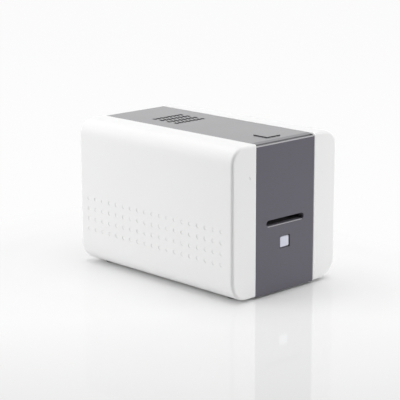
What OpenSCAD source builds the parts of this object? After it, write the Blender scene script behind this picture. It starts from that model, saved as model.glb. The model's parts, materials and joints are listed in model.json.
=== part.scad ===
// Desktop card printer: two rounded side covers round a dark centre band, a
// rear-hinged lid, a card feed train, a ribbon cassette and a thermal head.
// Units mm. +Z up, front faces -Y, origin at the centre of the footprint.

/* [Body] */
// Overall width across the side covers
body_w = 163; // [160:1:180]
// Overall depth, front to back
body_d = 247; // [244:1:260]
// Overall height above the table
body_h = 169; // [166:1:180]
// Gap between the table and the covers
foot_h = 2; // [1.8:0.1:3]
// Width of the dark centre band
band_w = 91; // [90:0.5:96]
// Wall of the covers and the tray
wall = 2.4; // [1.8:0.1:3]
// Radius of the upper cover edges
corner_r = 18; // [12:0.5:22]
// Radius of the lower cover edges
base_r = 22.4; // [20:0.1:24]
// Radius of the front and rear cover edges
edge_r = 3.5; // [3:0.1:5]
// Gap between the band and the covers
seam = 0.3; // [0.2:0.05:0.6]

/* [Band] */
// Depth of the front panel behind the cover fronts
panel_recess = 0.4; // [0.2:0.1:1.5]
// Thickness of the front and rear panels
panel_t = 3; // [2.4:0.1:3.5]
// Step from the cover tops down to the lid
lid_drop = 0.4; // [0.2:0.1:1]
// Thickness of the lid
lid_t = 2.4; // [2:0.1:2.8]
// Length of the gentle bevel at the lid's front
bevel_l = 5.6; // [4:0.1:8]
// Drop of the bevel at the lid's front
bevel_drop = 0.9; // [0.4:0.1:1.2]
// Step from the lid down to the front panel's top edge
panel_drop = 2.4; // [1.6:0.1:3]
// Radius of the hinge barrel
barrel_r = 5; // [4.8:0.1:5.4]
// Hinge pin radius
pin_r = 1.5; // [1.2:0.1:1.6]
// Largest gap round the lid's edge
lid_gap = 0.8; // [0.6:0.1:1.2]

/* [Front] */
// Width of the card slot
slot_w = 58.6; // [57:0.1:60]
// Height of the card slot with its lip
slot_h = 7.5; // [7:0.1:9]
// Height of the card path above the table
card_z = 79.7; // [78:0.1:82]
// Width of the front button
lens_w = 13.7; // [12:0.1:15]
// Height of the front button
lens_h = 11.8; // [10:0.1:13]
// Width of the window round the front button
window_w = 15.6; // [15.4:0.1:17]
// Height of the window round the front button
window_h = 13.6; // [13.4:0.1:15]
// Height of the front button's centre
lens_z = 56; // [52:0.5:60]
// Side of the square lid release button
release_w = 20.2; // [18:0.1:24]
// Distance of the release button behind the front
release_y = 28.7; // [27:0.1:30]
// Height of the release button over the lid
release_rise = 0.9; // [0.4:0.1:1.6]
// Gap round the release button in the lid
release_gap = 0.6; // [0.3:0.1:0.9]

/* [Vents and dimples] */
// Pitch of the side dimples
dimple_pitch = 12; // [11:0.1:12.5]
// Diameter of a side dimple
dimple_d = 4.8; // [3:0.1:6]
// Depth of a side dimple
dimple_deep = 0.45; // [0.3:0.05:0.8]
// Height of the lowest dimple row
dimple_z = 42.3; // [38:0.1:50]
// Pitch of the vent columns
vent_pitch = 5.8; // [5.6:0.05:6.2]
// Pitch of the vent rows
vent_row = 12.1; // [11.6:0.1:12.6]
// Width of a vent hole
vent_w = 4.9; // [4:0.1:5]
// Length of a vent hole
vent_l = 6.8; // [6:0.1:7.4]
// Width of the fine slots between the vent rows
link_w = 1.4; // [0.8:0.1:1.6]
// Distance of the vent's centre behind the body's centre
vent_y = 43.8; // [43:0.1:46]

/* [Frame] */
// Thickness of the steel side plates
plate_t = 1.2; // [1:0.1:1.4]
// Inner face of each side plate from the centre
plate_x = 37; // [36.8:0.1:37.2]
// Height of the side plates above the table
plate_top = 146; // [145:0.5:147]
// Thickness of the card bed
bed_t = 2.4; // [2:0.1:2.8]
// Width between the card guides
card_gap = 54.6; // [54.3:0.1:55]
// Length of the card hopper inside
card_len = 85.8; // [85.7:0.1:86]
// Height of the hopper rim above the table
hopper_top = 125; // [115:1:130]

/* [Feed train] */
// Radius of the feed rollers
roller_r = 6; // [5.5:0.1:6.3]
// Radius of the roller shafts
shaft_r = 2.5; // [2:0.1:2.6]
// Radius of the pinch rollers
pinch_r = 4; // [3.5:0.1:4.3]
// Distance of the exit roller from the body's centre
exit_y = 85; // [84:0.5:86]
// Teeth on each roller gear
feed_teeth = 24; // [24:1:24]
// Teeth on the large idler
idler_a_teeth = 31; // [30:1:32]
// Teeth on the middle idler
idler_b_teeth = 18; // [17:1:18]
// Teeth on the lowered idler
idler_c_teeth = 20; // [20:1:22]
// Teeth on the feed motor pinion
pinion_teeth = 14; // [13:1:14]
// Distance from transport roller to pick roller
pick_gap = 33; // [31:0.5:34]
// Width of the gears
gear_w = 4; // [3:0.1:4.2]

/* [Ribbon] */
// Height of the ribbon spools above the table
spool_z = 122; // [120:0.5:124]
// Radius of the spool flanges
flange_r = 18; // [16:0.5:18.5]
// Radius of the full supply roll
supply_r = 15; // [10:0.5:15.5]
// Radius of the take-up roll
takeup_r = 9; // [8:0.5:14]
// Teeth on the take-up gear
takeup_teeth = 36; // [34:1:38]
// Teeth on the ribbon motor pinion
ribbon_teeth = 12; // [12:1:14]

/* [Hidden] */
round_n = 48;
fine_n = 96;
cut = 0.5;
fit = 0.05;
snug = 0.3;
slack = 0.2;
gear_m = 1;
ribbon_m = 0.8;
hw = body_w / 2;
hd = body_d / 2;
hb = band_w / 2;
band_x = hb - seam;
inner_edge_r = 1;
dimple_cols = 19;
dimple_rows = 4;
lid_top = body_h - lid_drop;
lid_under = lid_top - lid_t;
panel_y = hd - panel_recess;
panel_in = panel_y - panel_t;
panel_low = foot_h + slack;
hinge_y = hd - panel_recess - barrel_r;
hinge_z = lid_top - barrel_r;
tray_z = foot_h + wall + slack;
floor_z = tray_z + wall;
tray_y = panel_in - snug;
foot_x = hw - base_r - 4.1;
foot_y = hd - 23.5;
tray_x = foot_x + 5.6;
foot_r = 7;
stem_r = 2.5;
screw_r = 1.45;
screw_head_r = 3;
screw_head_t = 1.4;
cover_screw_y = 60;
flange_x = 43;
flange_w = 9;
flange_y = 80;
plate_out = plate_x + plate_t;
plate_front = 10.1 - panel_in;
plate_rear = hinge_y + 1.5;
flange_half = hd - 23.5;
axis_z = card_z - roller_r;
gear_x = plate_out + 1.8;
exit_at = -exit_y;
platen_at = exit_at + gear_m * (feed_teeth + idler_a_teeth);
idler_a_at = exit_at + gear_m * (feed_teeth + idler_a_teeth) / 2;
idler_b_at = platen_at + gear_m * (feed_teeth + idler_b_teeth) / 2;
transport_at = platen_at + gear_m * (feed_teeth + idler_b_teeth);
pick_at = transport_at + pick_gap;
idler_c_at = transport_at + pick_gap / 2;
mesh_c = gear_m * (feed_teeth + idler_c_teeth) / 2;
idler_c_drop = sqrt(mesh_c * mesh_c - pick_gap * pick_gap / 4);
idler_c_ang = atan2(idler_c_drop, pick_gap / 2);
pinion_drop = gear_m * (idler_a_teeth + pinion_teeth) / 2;
pinion_z = axis_z - pinion_drop;
rail_h = 3;
bed_z = card_z - 0.5;
core_r = 4;
roller_half = 26.5;
core_half = 30;
bush_r = shaft_r + 2;
bush_flange_r = bush_r + 1.5;
bush_flange_t = 1;
pinch_z = card_z + snug + pinch_r;
pinch_shaft_r = 1.5;
pinch_arm_x = 28.5;
chute_x = 28.2;
chute_wall = 2;
supply_at = panel_in - card_len - flange_r - 8.3;
takeup_at = -78;
cassette_x = 31;
cassette_t = 2;
guide_r = 2;
guide_z = card_z + 5.5;
guide_span = 16;
spool_core_r = 6;
axle_r = 3;
film_t = 0.2;
head_at = platen_at;
head_half = 8;
head_x = 28;
strip_z = card_z + 1.3;
sink_z = strip_z + 2.2;
sink_h = 14;
head_plate_z = sink_z + sink_h + 6;
post_x = 20;
post_r = 2.5;
fan_half = 20;
fan_h = 10;
fan_z = lid_under - 1.1 - fan_h;
release_at = -hd + release_y;
latch_y = release_at - 9.4;
latch_z = lid_top - 11;
latch_r = 2.5;
hook_x = plate_out + 1.1;
hook_t = 2;
catch_y = latch_y + 4;
catch_z = latch_z - 15;
catch_r = 1.5;
board_z = floor_z + 5.8;
board_t = 1.6;
port_y = panel_y - snug;
rocker_z = 48;
rocker_x = 26;
rocker_w = 7;
rocker_h = 10.5;
rocker_y = panel_in - 3;
rocker_pin_r = 1.2;
rocker_pin_x = 6.3;
motor_half = 17.5;
ribbon_drop = ribbon_m * (takeup_teeth + ribbon_teeth) / 2;
ribbon_z = spool_z - ribbon_drop;
bracket_x = gear_x + gear_w + 1;
can_r = 12;
pressure = 25;
backlash = 0.16;

function mesh(th, n1, n2, phi) = phi + 180 + 180 / n2 + n1 / n2 * (phi - th);
function inv(a) = tan(a) * 180 / PI - a;

turn_platen = 0;
turn_a = mesh(turn_platen, feed_teeth, idler_a_teeth, 180);
turn_exit = mesh(turn_a, idler_a_teeth, feed_teeth, 180);
turn_pinion = mesh(turn_a, idler_a_teeth, pinion_teeth, 270);
turn_b = mesh(turn_platen, feed_teeth, idler_b_teeth, 0);
turn_transport = mesh(turn_b, idler_b_teeth, feed_teeth, 0);
turn_c = mesh(turn_transport, feed_teeth, idler_c_teeth, -idler_c_ang);
turn_pick = mesh(turn_c, idler_c_teeth, feed_teeth, idler_c_ang);
turn_ribbon = mesh(0, takeup_teeth, ribbon_teeth, 270);

// ---- helpers -------------------------------------------------------------

// local x, y, z become depth, height and width
module lie() {
    rotate([90, 0, 90]) children();
}

// a rod along the width, from x0 to x1, at depth y and height z
module rod(x0, x1, y, z, r) {
    translate([x0, y, z]) lie() cylinder(r = r, h = x1 - x0, $fn = round_n);
}

// a plate standing across the width, from a flat shape in depth and height
module slab(x0, x1) {
    translate([x0, 0, 0]) lie() linear_extrude(height = x1 - x0) children();
}

// a box given by its low and high corners
module box(lo, hi) {
    translate(lo) cube(hi - lo);
}

module both() {
    children();
    mirror([1, 0, 0]) children();
}

// gear outline, one tooth centred on +x
module gear_shape(n, m) {
    rp = n * m / 2;
    rb = rp * cos(pressure);
    rt = rp + 0.92 * m;
    rr = rp - 1.22 * m;
    half = 90 / n - backlash / 2 / rp * 180 / PI + inv(pressure);
    low = max(rb, rr + 0.1 * m);
    steps = 4;
    radii = [for (i = [0:steps]) low + (rt - low) * i / steps];
    angs = [for (r = radii) half - inv(acos(min(1, rb / r)))];
    polygon([for (k = [0:n - 1]) each concat(
        [rr * [cos(k * 360 / n - angs[0]), sin(k * 360 / n - angs[0])]],
        [for (i = [0:steps])
            radii[i] * [cos(k * 360 / n - angs[i]), sin(k * 360 / n - angs[i])]],
        [for (i = [steps:-1:0])
            radii[i] * [cos(k * 360 / n + angs[i]), sin(k * 360 / n + angs[i])]],
        [rr * [cos(k * 360 / n + angs[0]), sin(k * 360 / n + angs[0])]])]);
}

module gear(n, m, turn, bore, x, y, z) {
    translate([x, y, z]) lie() difference() {
        rotate(turn) linear_extrude(height = gear_w) gear_shape(n, m);
        translate([0, 0, -cut]) cylinder(r = bore, h = gear_w + 2 * cut, $fn = round_n);
    }
}

// ---- covers --------------------------------------------------------------

// cross-section of a wall: flat with rounded front and rear ends
module edge_shape(len, e, d) {
    translate([0, -d]) square([len - e, 2 * d]);
    translate([0, e - d]) square([len, 2 * (d - e)]);
    for (s = [-1, 1]) {
        translate([len - e, s * (d - e)]) circle(r = e, $fn = round_n);
    }
}

// outer or inner form of a side cover, grown inward by the inset
module cover_form(inset, x_in) {
    e = edge_r - inset;
    d = hd - inset;
    x1 = hw - corner_r;
    x0 = hw - base_r;
    z1 = body_h - corner_r;
    z0 = foot_h + base_r;
    translate([x1, 0, z1]) rotate([-90, 0, 0]) rotate([0, 0, -90])
        rotate_extrude(angle = 90, $fn = fine_n) edge_shape(corner_r - inset, e, d);
    translate([x0, 0, z0]) rotate([-90, 0, 0])
        rotate_extrude(angle = 90, $fn = fine_n) edge_shape(base_r - inset, e, d);
    translate([x_in, 0, z0]) linear_extrude(height = z1 - z0)
        edge_shape(hw - inset - x_in, e, d);
    translate([x1, 0, z1]) rotate([0, -90, 0]) linear_extrude(height = x1 - x_in)
        edge_shape(corner_r - inset, e, d);
    mirror([0, 0, 1]) translate([x0, 0, -z0]) rotate([0, -90, 0])
        linear_extrude(height = x0 - x_in) edge_shape(base_r - inset, e, d);
}

// cutter that rounds the cover's free edges beside the band
module edge_break() {
    r = inner_edge_r;
    for (s = [-1, 1]) {
        translate([hb, s * hd, foot_h - cut]) difference() {
            translate([-cut, -r, 0]) cube([r + cut, 2 * r, body_h]);
            translate([r, -s * r, -cut]) cylinder(r = r, h = body_h + 2 * cut, $fn = round_n);
            translate([-2 * cut, -s * 2 * r - r, -cut]) cube([4 * r, 2 * r, body_h + 2 * cut]);
        }
    }
    translate([hb, -hd - cut, body_h]) difference() {
        translate([-cut, 0, -r]) cube([r + cut, body_d + 2 * cut, 2 * r]);
        translate([r, -cut, -r]) rotate([-90, 0, 0])
            cylinder(r = r, h = body_d + 4 * cut, $fn = round_n);
    }
}

// cutter for a flat-bottomed dimple with sloping walls, opening along +z
module dimple(d, deep) {
    cylinder(h = deep + cut, r1 = d / 2 - deep, r2 = d / 2 + cut, $fn = round_n);
}

module side_dimples() {
    for (i = [0:dimple_cols - 1]) {
        for (j = [0:dimple_rows - 1]) {
            translate([hw - dimple_deep,
                (i - (dimple_cols - 1) / 2) * dimple_pitch + 0.7,
                dimple_z + j * dimple_pitch]) rotate([0, 90, 0]) dimple(dimple_d, dimple_deep);
        }
    }
}

module cover() {
    difference() {
        cover_form(0, hb);
        cover_form(wall, hb - 2);
        edge_break();
        side_dimples();
        for (s = [-1, 1]) {
            translate([foot_x, s * foot_y, foot_h - cut])
                cylinder(r = stem_r + slack, h = wall + 2 * cut, $fn = round_n);
            translate([foot_x, s * cover_screw_y, foot_h - cut])
                cylinder(r = screw_r + slack, h = wall + 2 * cut, $fn = round_n);
        }
    }
}

module right_cover() {
    color("white") cover();
}

module left_cover() {
    mark_d = 4;
    mark_deep = 0.5;
    mark_x = -56.3;
    mark_z = 134;
    color("white") difference() {
        mirror([1, 0, 0]) cover();
        translate([mark_x, mark_deep - hd, mark_z]) rotate([90, 0, 0]) dimple(mark_d, mark_deep);
    }
}

// ---- centre band ---------------------------------------------------------

module window(w, h, y0, y1, z) {
    box([-w / 2, y0, z - h / 2], [w / 2, y1, z + h / 2]);
}

// stadium-shaped prism along the depth
module stadium(w, h, y0, y1, z) {
    box([-(w - h) / 2, y0, z - h / 2], [(w - h) / 2, y1, z + h / 2]);
    for (s = [-1, 1]) {
        translate([s * (w - h) / 2, y1, z]) rotate([90, 0, 0])
            cylinder(r = h / 2, h = y1 - y0, $fn = round_n);
    }
}

lip_h = 1.3;
lip_deep = 1.3;
nose = 0.6;
post_d = 5;
button_post_x = 12;
button_board_y = -panel_in + 6.7;

module front_panel() {
    y0 = -panel_y;
    y1 = -panel_in;
    top = lid_top - panel_drop;
    lip_z = card_z - slot_h / 2;
    color("dimgray") difference() {
        union() {
            slab(-band_x, band_x) {
                translate([y0, panel_low]) square([panel_t, top - nose - panel_low]);
                difference() {
                    translate([y0, top - nose - cut]) square([panel_t, nose + cut]);
                    translate([y0, top - nose]) difference() {
                        translate([-cut, 0]) square([nose + cut, nose + cut]);
                        translate([nose, 0]) circle(r = nose, $fn = round_n);
                    }
                }
            }
            for (s = [-1, 1]) {
                translate([s * button_post_x, button_board_y, lens_z]) rotate([90, 0, 0])
                    cylinder(d = post_d, h = button_board_y - y0 - 1, $fn = round_n);
            }
        }
        intersection() {
            stadium(slot_w, slot_h, y0 - cut, y1 + cut, card_z);
            union() {
                box([-slot_w, y0 - cut, lip_z + lip_h], [slot_w, y1 + cut, card_z + slot_h]);
                slab(-slot_w, slot_w) polygon([[y0 - cut, lip_z - cut * lip_h / lip_deep],
                    [y0 + lip_deep, lip_z + lip_h], [y0 + lip_deep, lip_z + lip_h + cut],
                    [y0 - cut, lip_z + lip_h + cut]]);
            }
        }
        window(window_w, window_h, y0 - cut, y1 + cut, lens_z);
    }
}

port_floor = board_z + board_t;

// the ports, each as [centre x, width, height]
ports = [[-26, 12, 11], [-8, 16, 13.5], [9, 9, 11]];

module rear_panel() {
    color("dimgray") difference() {
        box([-band_x, panel_in, panel_low],
            [band_x, panel_y, hinge_z - barrel_r - lid_gap]);
        for (p = ports) {
            box([p[0] - p[1] / 2 - snug, panel_in - cut, port_floor],
                [p[0] + p[1] / 2 + snug, panel_y + cut, port_floor + p[2] + snug]);
        }
        box([rocker_x - rocker_w - snug, panel_in - cut, rocker_z - rocker_h - snug],
            [rocker_x + rocker_w + snug, panel_y + cut, rocker_z + rocker_h + snug]);
        for (i = [-5:5]) {
            translate([i * 6, panel_in - cut, 88]) cube([3, panel_t + 2 * cut, 26]);
        }
    }
}

module base_tray() {
    color("gainsboro") difference() {
        union() {
            box([-tray_x, -tray_y, tray_z], [tray_x, tray_y, floor_z]);
            box([-band_x, -tray_y, foot_h + slack], [band_x, tray_y, tray_z + cut]);
            both() translate([foot_x, 0, floor_z - cut]) {
                for (s = [-1, 1]) {
                    translate([0, s * cover_screw_y, 0])
                        cylinder(r = 4, h = 6 + cut, $fn = round_n);
                }
            }
            both() for (y = [-55, 30, panel_in - 8.1]) {
                translate([30, y, floor_z - cut])
                    cylinder(r = 3, h = board_z - floor_z + cut, $fn = round_n);
            }
        }
        box([-flange_x + 4, -tray_y + wall, foot_h], [flange_x - 4, tray_y - wall, tray_z]);
        both() for (s = [-1, 1]) {
            translate([foot_x, s * foot_y, tray_z - cut])
                cylinder(r = stem_r + slack, h = wall + 2 * cut, $fn = round_n);
            translate([foot_x, s * cover_screw_y, tray_z - cut])
                cylinder(r = screw_r + fit, h = wall + 8, $fn = round_n);
            translate([flange_x, s * flange_y, tray_z])
                cylinder(r = screw_r + fit, h = floor_z, $fn = round_n);
        }
    }
}

module rubber_feet() {
    color("black") both() for (s = [-1, 1]) {
        translate([foot_x, s * foot_y, 0]) {
            cylinder(r = foot_r, h = foot_h, $fn = round_n);
            cylinder(r = stem_r, h = floor_z + 0.8, $fn = round_n);
        }
    }
}

module cover_screws() {
    color("silver") both() for (s = [-1, 1]) {
        translate([foot_x, s * cover_screw_y, 0]) {
            translate([0, 0, foot_h - screw_head_t])
                cylinder(r = screw_head_r, h = screw_head_t, $fn = round_n);
            translate([0, 0, foot_h - cut])
                cylinder(r = screw_r, h = floor_z - foot_h + 4, $fn = round_n);
        }
    }
}

// ---- lid and its latch ---------------------------------------------------

skirt_low = 150;
skirt_t = 2.2;
nose_r = 0.8;
lid_front = -panel_in + lid_gap;
ear_x = plate_x - 0.5;
ear_r = 2.8;
latch_arm_x = 20;
shelf_z = release_z_low() - 5.3;
release_flange = 1.25;

function release_z_low() = lid_under - snug - 1.8;

module lid() {
    ear_gap = plate_t + 1;
    front_top = lid_top - bevel_drop;
    color("dimgray") difference() {
        union() {
            slab(-band_x, band_x) {
                polygon([[lid_front + nose_r, lid_under], [hinge_y, lid_under],
                    [hinge_y, lid_top], [lid_front + bevel_l, lid_top],
                    [lid_front + nose_r, front_top]]);
                translate([lid_front + nose_r, front_top - nose_r])
                    circle(r = nose_r, $fn = round_n);
                translate([lid_front, skirt_low])
                    square([lid_t, front_top - nose_r - skirt_low]);
                translate([hinge_y, hinge_z]) circle(r = barrel_r, $fn = fine_n);
            }
            both() box([band_x - skirt_t, lid_front + 1, skirt_low],
                [band_x, hinge_y - barrel_r - 2, lid_top - 1]);
            both() box([latch_arm_x, latch_y - 3.5, latch_z - 4.5],
                [latch_arm_x + 3, latch_y + 3.5, lid_top - 1]);
            both() box([release_w / 2 + 1.6, release_at - 5, shelf_z],
                [release_w / 2 + 3.2, release_at + 5, lid_top - 1]);
            box([-release_w / 2 - 3, release_at - 5, shelf_z],
                [release_w / 2 + 3, release_at + 5, shelf_z + 1.4]);
            both() for (s = [-1, 1]) {
                translate([fan_half - 4, vent_y + s * (fan_half - 4), lid_under - 1])
                    cylinder(r = 3, h = 2, $fn = round_n);
            }
        }
        rod(-band_x - cut, band_x + cut, hinge_y, hinge_z, pin_r + fit);
        both() box([ear_x, hinge_y - barrel_r - 1, skirt_low],
            [ear_x + ear_gap, hinge_y + barrel_r + 1, hinge_z + ear_r + snug]);
        box([-release_w / 2 - release_gap, release_at - release_w / 2 - release_gap, lid_under - cut],
            [release_w / 2 + release_gap, release_at + release_w / 2 + release_gap, lid_top + cut]);
        rod(-latch_arm_x - 4, latch_arm_x + 4, latch_y, latch_z, latch_r + fit);
        translate([0, release_at, shelf_z - cut])
            cylinder(r = 3.3, h = 3, $fn = round_n);
        vent_holes();
    }
}

// stadium-shaped cutter through the lid, long in depth
module vent_slot(x, y, w, l) {
    translate([x, y, lid_under - 2]) {
        for (s = [-1, 1]) {
            translate([0, s * (l - w) / 2, 0])
                cylinder(d = w, h = lid_t + 4, $fn = round_n);
        }
        translate([-w / 2, -(l - w) / 2, 0]) cube([w, l - w, lid_t + 4]);
    }
}

module vent_holes() {
    for (i = [0:7]) {
        for (j = [0:3]) {
            vent_slot((i - 3.5) * vent_pitch, vent_y + (j - 1.5) * vent_row, vent_w, vent_l);
        }
    }
    for (i = [0:6]) {
        for (j = [0:2]) {
            vent_slot((i - 3) * vent_pitch, vent_y + (j - 1) * vent_row, link_w,
                vent_row - vent_l + snug);
        }
    }
}

module hinge_pin() {
    color("silver") rod(-band_x + 0.5, band_x - 0.5, hinge_y, hinge_z, pin_r);
}

module release_button() {
    low = release_z_low();
    w = release_w;
    color("dimgray") {
        box([-w / 2, release_at - w / 2, low], [w / 2, release_at + w / 2, lid_top + release_rise]);
        box([-w / 2 - release_flange, release_at - w / 2 - release_flange, low],
            [w / 2 + release_flange, release_at + w / 2 + release_flange, low + 1.8]);
        translate([0, release_at, latch_z + 1.4])
            cylinder(r = axle_r, h = low - latch_z, $fn = round_n);
    }
}

module release_spring() {
    color("silver") translate([0, release_at, shelf_z + 1.4 + slack]) difference() {
        cylinder(r = 5.5, h = release_z_low() - shelf_z - 1.4 - 2 * slack, $fn = round_n);
        translate([0, 0, -cut]) cylinder(r = 4.5, h = 10, $fn = round_n);
    }
}

module latch_bar() {
    low = catch_z - catch_r - snug;
    color("silver") {
        rod(-hook_x - hook_t, hook_x + hook_t, latch_y, latch_z, latch_r);
        both() slab(hook_x, hook_x + hook_t) polygon([
            [latch_y - 2.2, latch_z], [latch_y + 0.8, latch_z],
            [latch_y + 0.8, low], [catch_y + 1.2, low],
            [catch_y + 1.2, low - 1.2], [latch_y - 1, low - 2.4],
            [latch_y - 2.2, low - 2.4]]);
        box([-5, latch_y, latch_z - 1.5], [5, release_at + 2, latch_z + 0.6]);
    }
}

// ---- steel frame ---------------------------------------------------------

// cross bars, each as [depth, height]
bars = [[plate_front + 4, 106], [panel_in - 20.1, 60],
    [idler_a_at - motor_half - 6, pinion_z - 16]];
// openings in the side plates, each as [depth, height, length, rise]
plate_windows = [[40, 98, 50, 34], [2, 24, 60, 24], [-30, 24, 18, 20]];
bar_w = 8;

module bush_holes(x0, x1) {
    for (y = [exit_at, platen_at, transport_at, pick_at]) {
        rod(x0, x1, y, axis_z, bush_r + fit);
    }
}

module side_plate() {
    difference() {
        union() {
            box([plate_x, plate_front, floor_z], [plate_out, plate_rear, plate_top]);
            box([plate_x, hinge_y - ear_r, plate_top - 1], [plate_out, plate_rear, hinge_z]);
            rod(plate_x, plate_out, hinge_y, hinge_z, ear_r);
            box([plate_x, -flange_half, floor_z],
                [plate_out + flange_w, flange_half, floor_z + plate_t]);
        }
        rod(plate_x - cut, plate_out + cut, hinge_y, hinge_z, pin_r + fit);
        bush_holes(plate_x - cut, plate_out + cut);
        for (b = bars) {
            rod(plate_x - cut, plate_out + cut, b[0], b[1], screw_r + fit);
        }
        for (s = [-1, 1]) {
            translate([flange_x, s * flange_y, floor_z - cut])
                cylinder(r = screw_r + fit, h = 4, $fn = round_n);
        }
        for (w = plate_windows) {
            box([plate_x - cut, w[0], w[1]], [plate_out + cut, w[0] + w[2], w[1] + w[3]]);
        }
    }
}

module right_plate() {
    color("lightsteelblue") difference() {
        side_plate();
        rod(plate_x - cut, plate_out + cut, idler_a_at, pinion_z, 8.2);
        for (p = [[idler_a_at, axis_z], [idler_b_at, axis_z],
            [idler_c_at, axis_z - idler_c_drop]]) {
            rod(plate_x - cut, plate_out + cut, p[0], p[1], 1.8);
        }
        rod(plate_x - cut, plate_out + cut, catch_y, catch_z, 1);
    }
}

module left_plate() {
    color("lightsteelblue") mirror([1, 0, 0]) difference() {
        side_plate();
        rod(plate_x - cut, plate_out + cut, takeup_at, spool_z, axle_r + fit);
        rod(plate_x - cut, plate_out + cut, catch_y, catch_z, 1);
    }
}

module frame_studs() {
    color("silver") {
        for (p = [[idler_a_at, axis_z], [idler_b_at, axis_z],
            [idler_c_at, axis_z - idler_c_drop]]) {
            rod(plate_x, plate_out + 1, p[0], p[1], 1.7);
            rod(plate_out, gear_x - snug, p[0], p[1], 4);
            rod(plate_out, gear_x + gear_w + 1.2, p[0], p[1], shaft_r);
            rod(gear_x + gear_w + snug, gear_x + gear_w + 1.4, p[0], p[1], 3.6);
        }
        both() {
            rod(plate_x, plate_out + 1, catch_y, catch_z, 0.9);
            rod(plate_out, hook_x + hook_t + 0.4, catch_y, catch_z, catch_r);
        }
    }
}

module cross_bars() {
    color("silver") for (b = bars) {
        difference() {
            box([-plate_x + slack, b[0] - bar_w / 2, b[1] - bar_w / 2],
                [plate_x - slack, b[0] + bar_w / 2, b[1] + bar_w / 2]);
            rod(-plate_x, plate_x, b[0], b[1], screw_r + fit);
        }
    }
}

module chassis_screws() {
    color("silver") both() {
        for (b = bars) {
            rod(plate_out, plate_out + screw_head_t, b[0], b[1], screw_head_r);
            rod(plate_x - 8, plate_out + cut, b[0], b[1], screw_r);
        }
        for (s = [-1, 1]) {
            translate([flange_x, s * flange_y, floor_z + plate_t])
                cylinder(r = screw_head_r, h = screw_head_t, $fn = round_n);
            translate([flange_x, s * flange_y, tray_z + slack])
                cylinder(r = screw_r, h = floor_z - tray_z + plate_t + slack, $fn = round_n);
        }
    }
}

// ---- card path -----------------------------------------------------------

hopper_wall = 1.4;
hopper_rear = panel_in - snug - hopper_wall;
hopper_front = hopper_rear - card_len;

module card_bed() {
    y0 = exit_at - 12;
    y1 = panel_in - snug;
    color("darkgray") difference() {
        union() {
            box([-plate_x + slack, y0, bed_z - bed_t], [plate_x - slack, y1, bed_z]);
            both() box([card_gap / 2, y0 + 2, bed_z - cut],
                [card_gap / 2 + 2, hopper_front - hopper_wall - slack, bed_z + rail_h]);
            box([-chute_x - chute_wall, -panel_in + snug, card_z - 1.9 - chute_wall],
                [chute_x + chute_wall, y0 + 1.5, card_z - 1.9]);
            box([-chute_x - chute_wall, -panel_in + snug, card_z + 3.7],
                [chute_x + chute_wall, y0, card_z + 3.7 + chute_wall]);
            both() box([chute_x, -panel_in + snug, card_z - 3],
                [chute_x + chute_wall, y0 + 1.5, card_z + 4]);
        }
        for (y = [exit_at, platen_at, transport_at, pick_at]) {
            box([-core_half - slack, y - roller_r + slack, bed_z - bed_t - cut],
                [core_half + slack, y + roller_r - slack, bed_z]);
        }
    }
}

module card_hopper() {
    x0 = card_gap / 2;
    x1 = x0 + hopper_wall;
    color("darkgray") {
        difference() {
            box([-x1, hopper_front - hopper_wall, bed_z + slack],
                [x1, hopper_rear + hopper_wall, hopper_top]);
            box([-x0, hopper_front, bed_z - cut], [x0, hopper_rear, hopper_top + cut]);
            box([-x0, hopper_front - 2, bed_z - cut], [x0, hopper_front + cut, card_z + 1.2]);
        }
        both() for (y = [hopper_front + 12.4, hopper_rear - 18.4]) {
            box([x1 - cut, y, hopper_top - 8], [plate_x - slack, y + 5, hopper_top - 6]);
        }
    }
}

module card_weight() {
    color("dimgray") {
        box([-card_gap / 2 + 0.4, hopper_front + 0.4, card_z + snug],
            [card_gap / 2 - 0.4, hopper_rear - 0.4, card_z + 3.5]);
        box([-20, hopper_front + 38, card_z + 3], [20, hopper_front + 42, card_z + 12]);
    }
}

// ---- rollers -------------------------------------------------------------

module platen_shaft() {
    color("silver") {
        rod(-plate_out - 1.6, gear_x + gear_w + 1, platen_at, axis_z, shaft_r);
    }
}

module platen_sleeve() {
    color("black") difference() {
        rod(-roller_half, roller_half, platen_at, axis_z, roller_r);
        rod(-roller_half - cut, roller_half + cut, platen_at, axis_z, shaft_r + fit);
    }
}

module platen_gear() {
    color("white") gear(feed_teeth, gear_m, turn_platen, shaft_r + fit, gear_x, platen_at, axis_z);
}

module moulded_core(y, turn) {
    color("white") {
        rod(-plate_out - 1.6, gear_x + gear_w + 1, y, axis_z, shaft_r);
        rod(-core_half, core_half, y, axis_z, core_r);
        gear(feed_teeth, gear_m, turn, shaft_r - slack, gear_x, y, axis_z);
    }
}

module tyres(y) {
    color("black") both() difference() {
        rod(8, 24, y, axis_z, roller_r);
        rod(8 - cut, 24 + cut, y, axis_z, core_r + fit);
    }
}

module exit_core() {
    moulded_core(exit_at, turn_exit);
}

module exit_tyres() {
    tyres(exit_at);
}

module transport_core() {
    moulded_core(transport_at, turn_transport);
}

module transport_tyres() {
    tyres(transport_at);
}

module pick_core() {
    moulded_core(pick_at, turn_pick);
}

module pick_tyres() {
    tyres(pick_at);
}

module roller_bushes() {
    color("ivory") both() for (y = [exit_at, platen_at, transport_at, pick_at]) {
        difference() {
            union() {
                rod(plate_x, plate_out + 0.1, y, axis_z, bush_r);
                rod(plate_out, plate_out + bush_flange_t, y, axis_z, bush_flange_r);
            }
            rod(plate_x - 2, plate_out + 4, y, axis_z, shaft_r + fit);
        }
    }
}

module pinch_roller(y) {
    rod(-24, 24, y, pinch_z, pinch_r);
    rod(-pinch_arm_x - 1.6, pinch_arm_x + 1.6, y, pinch_z, pinch_shaft_r);
}

module exit_pinch() {
    color("dimgray") pinch_roller(exit_at);
}

module cleaning_roller() {
    color("steelblue") pinch_roller(transport_at);
}

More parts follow.
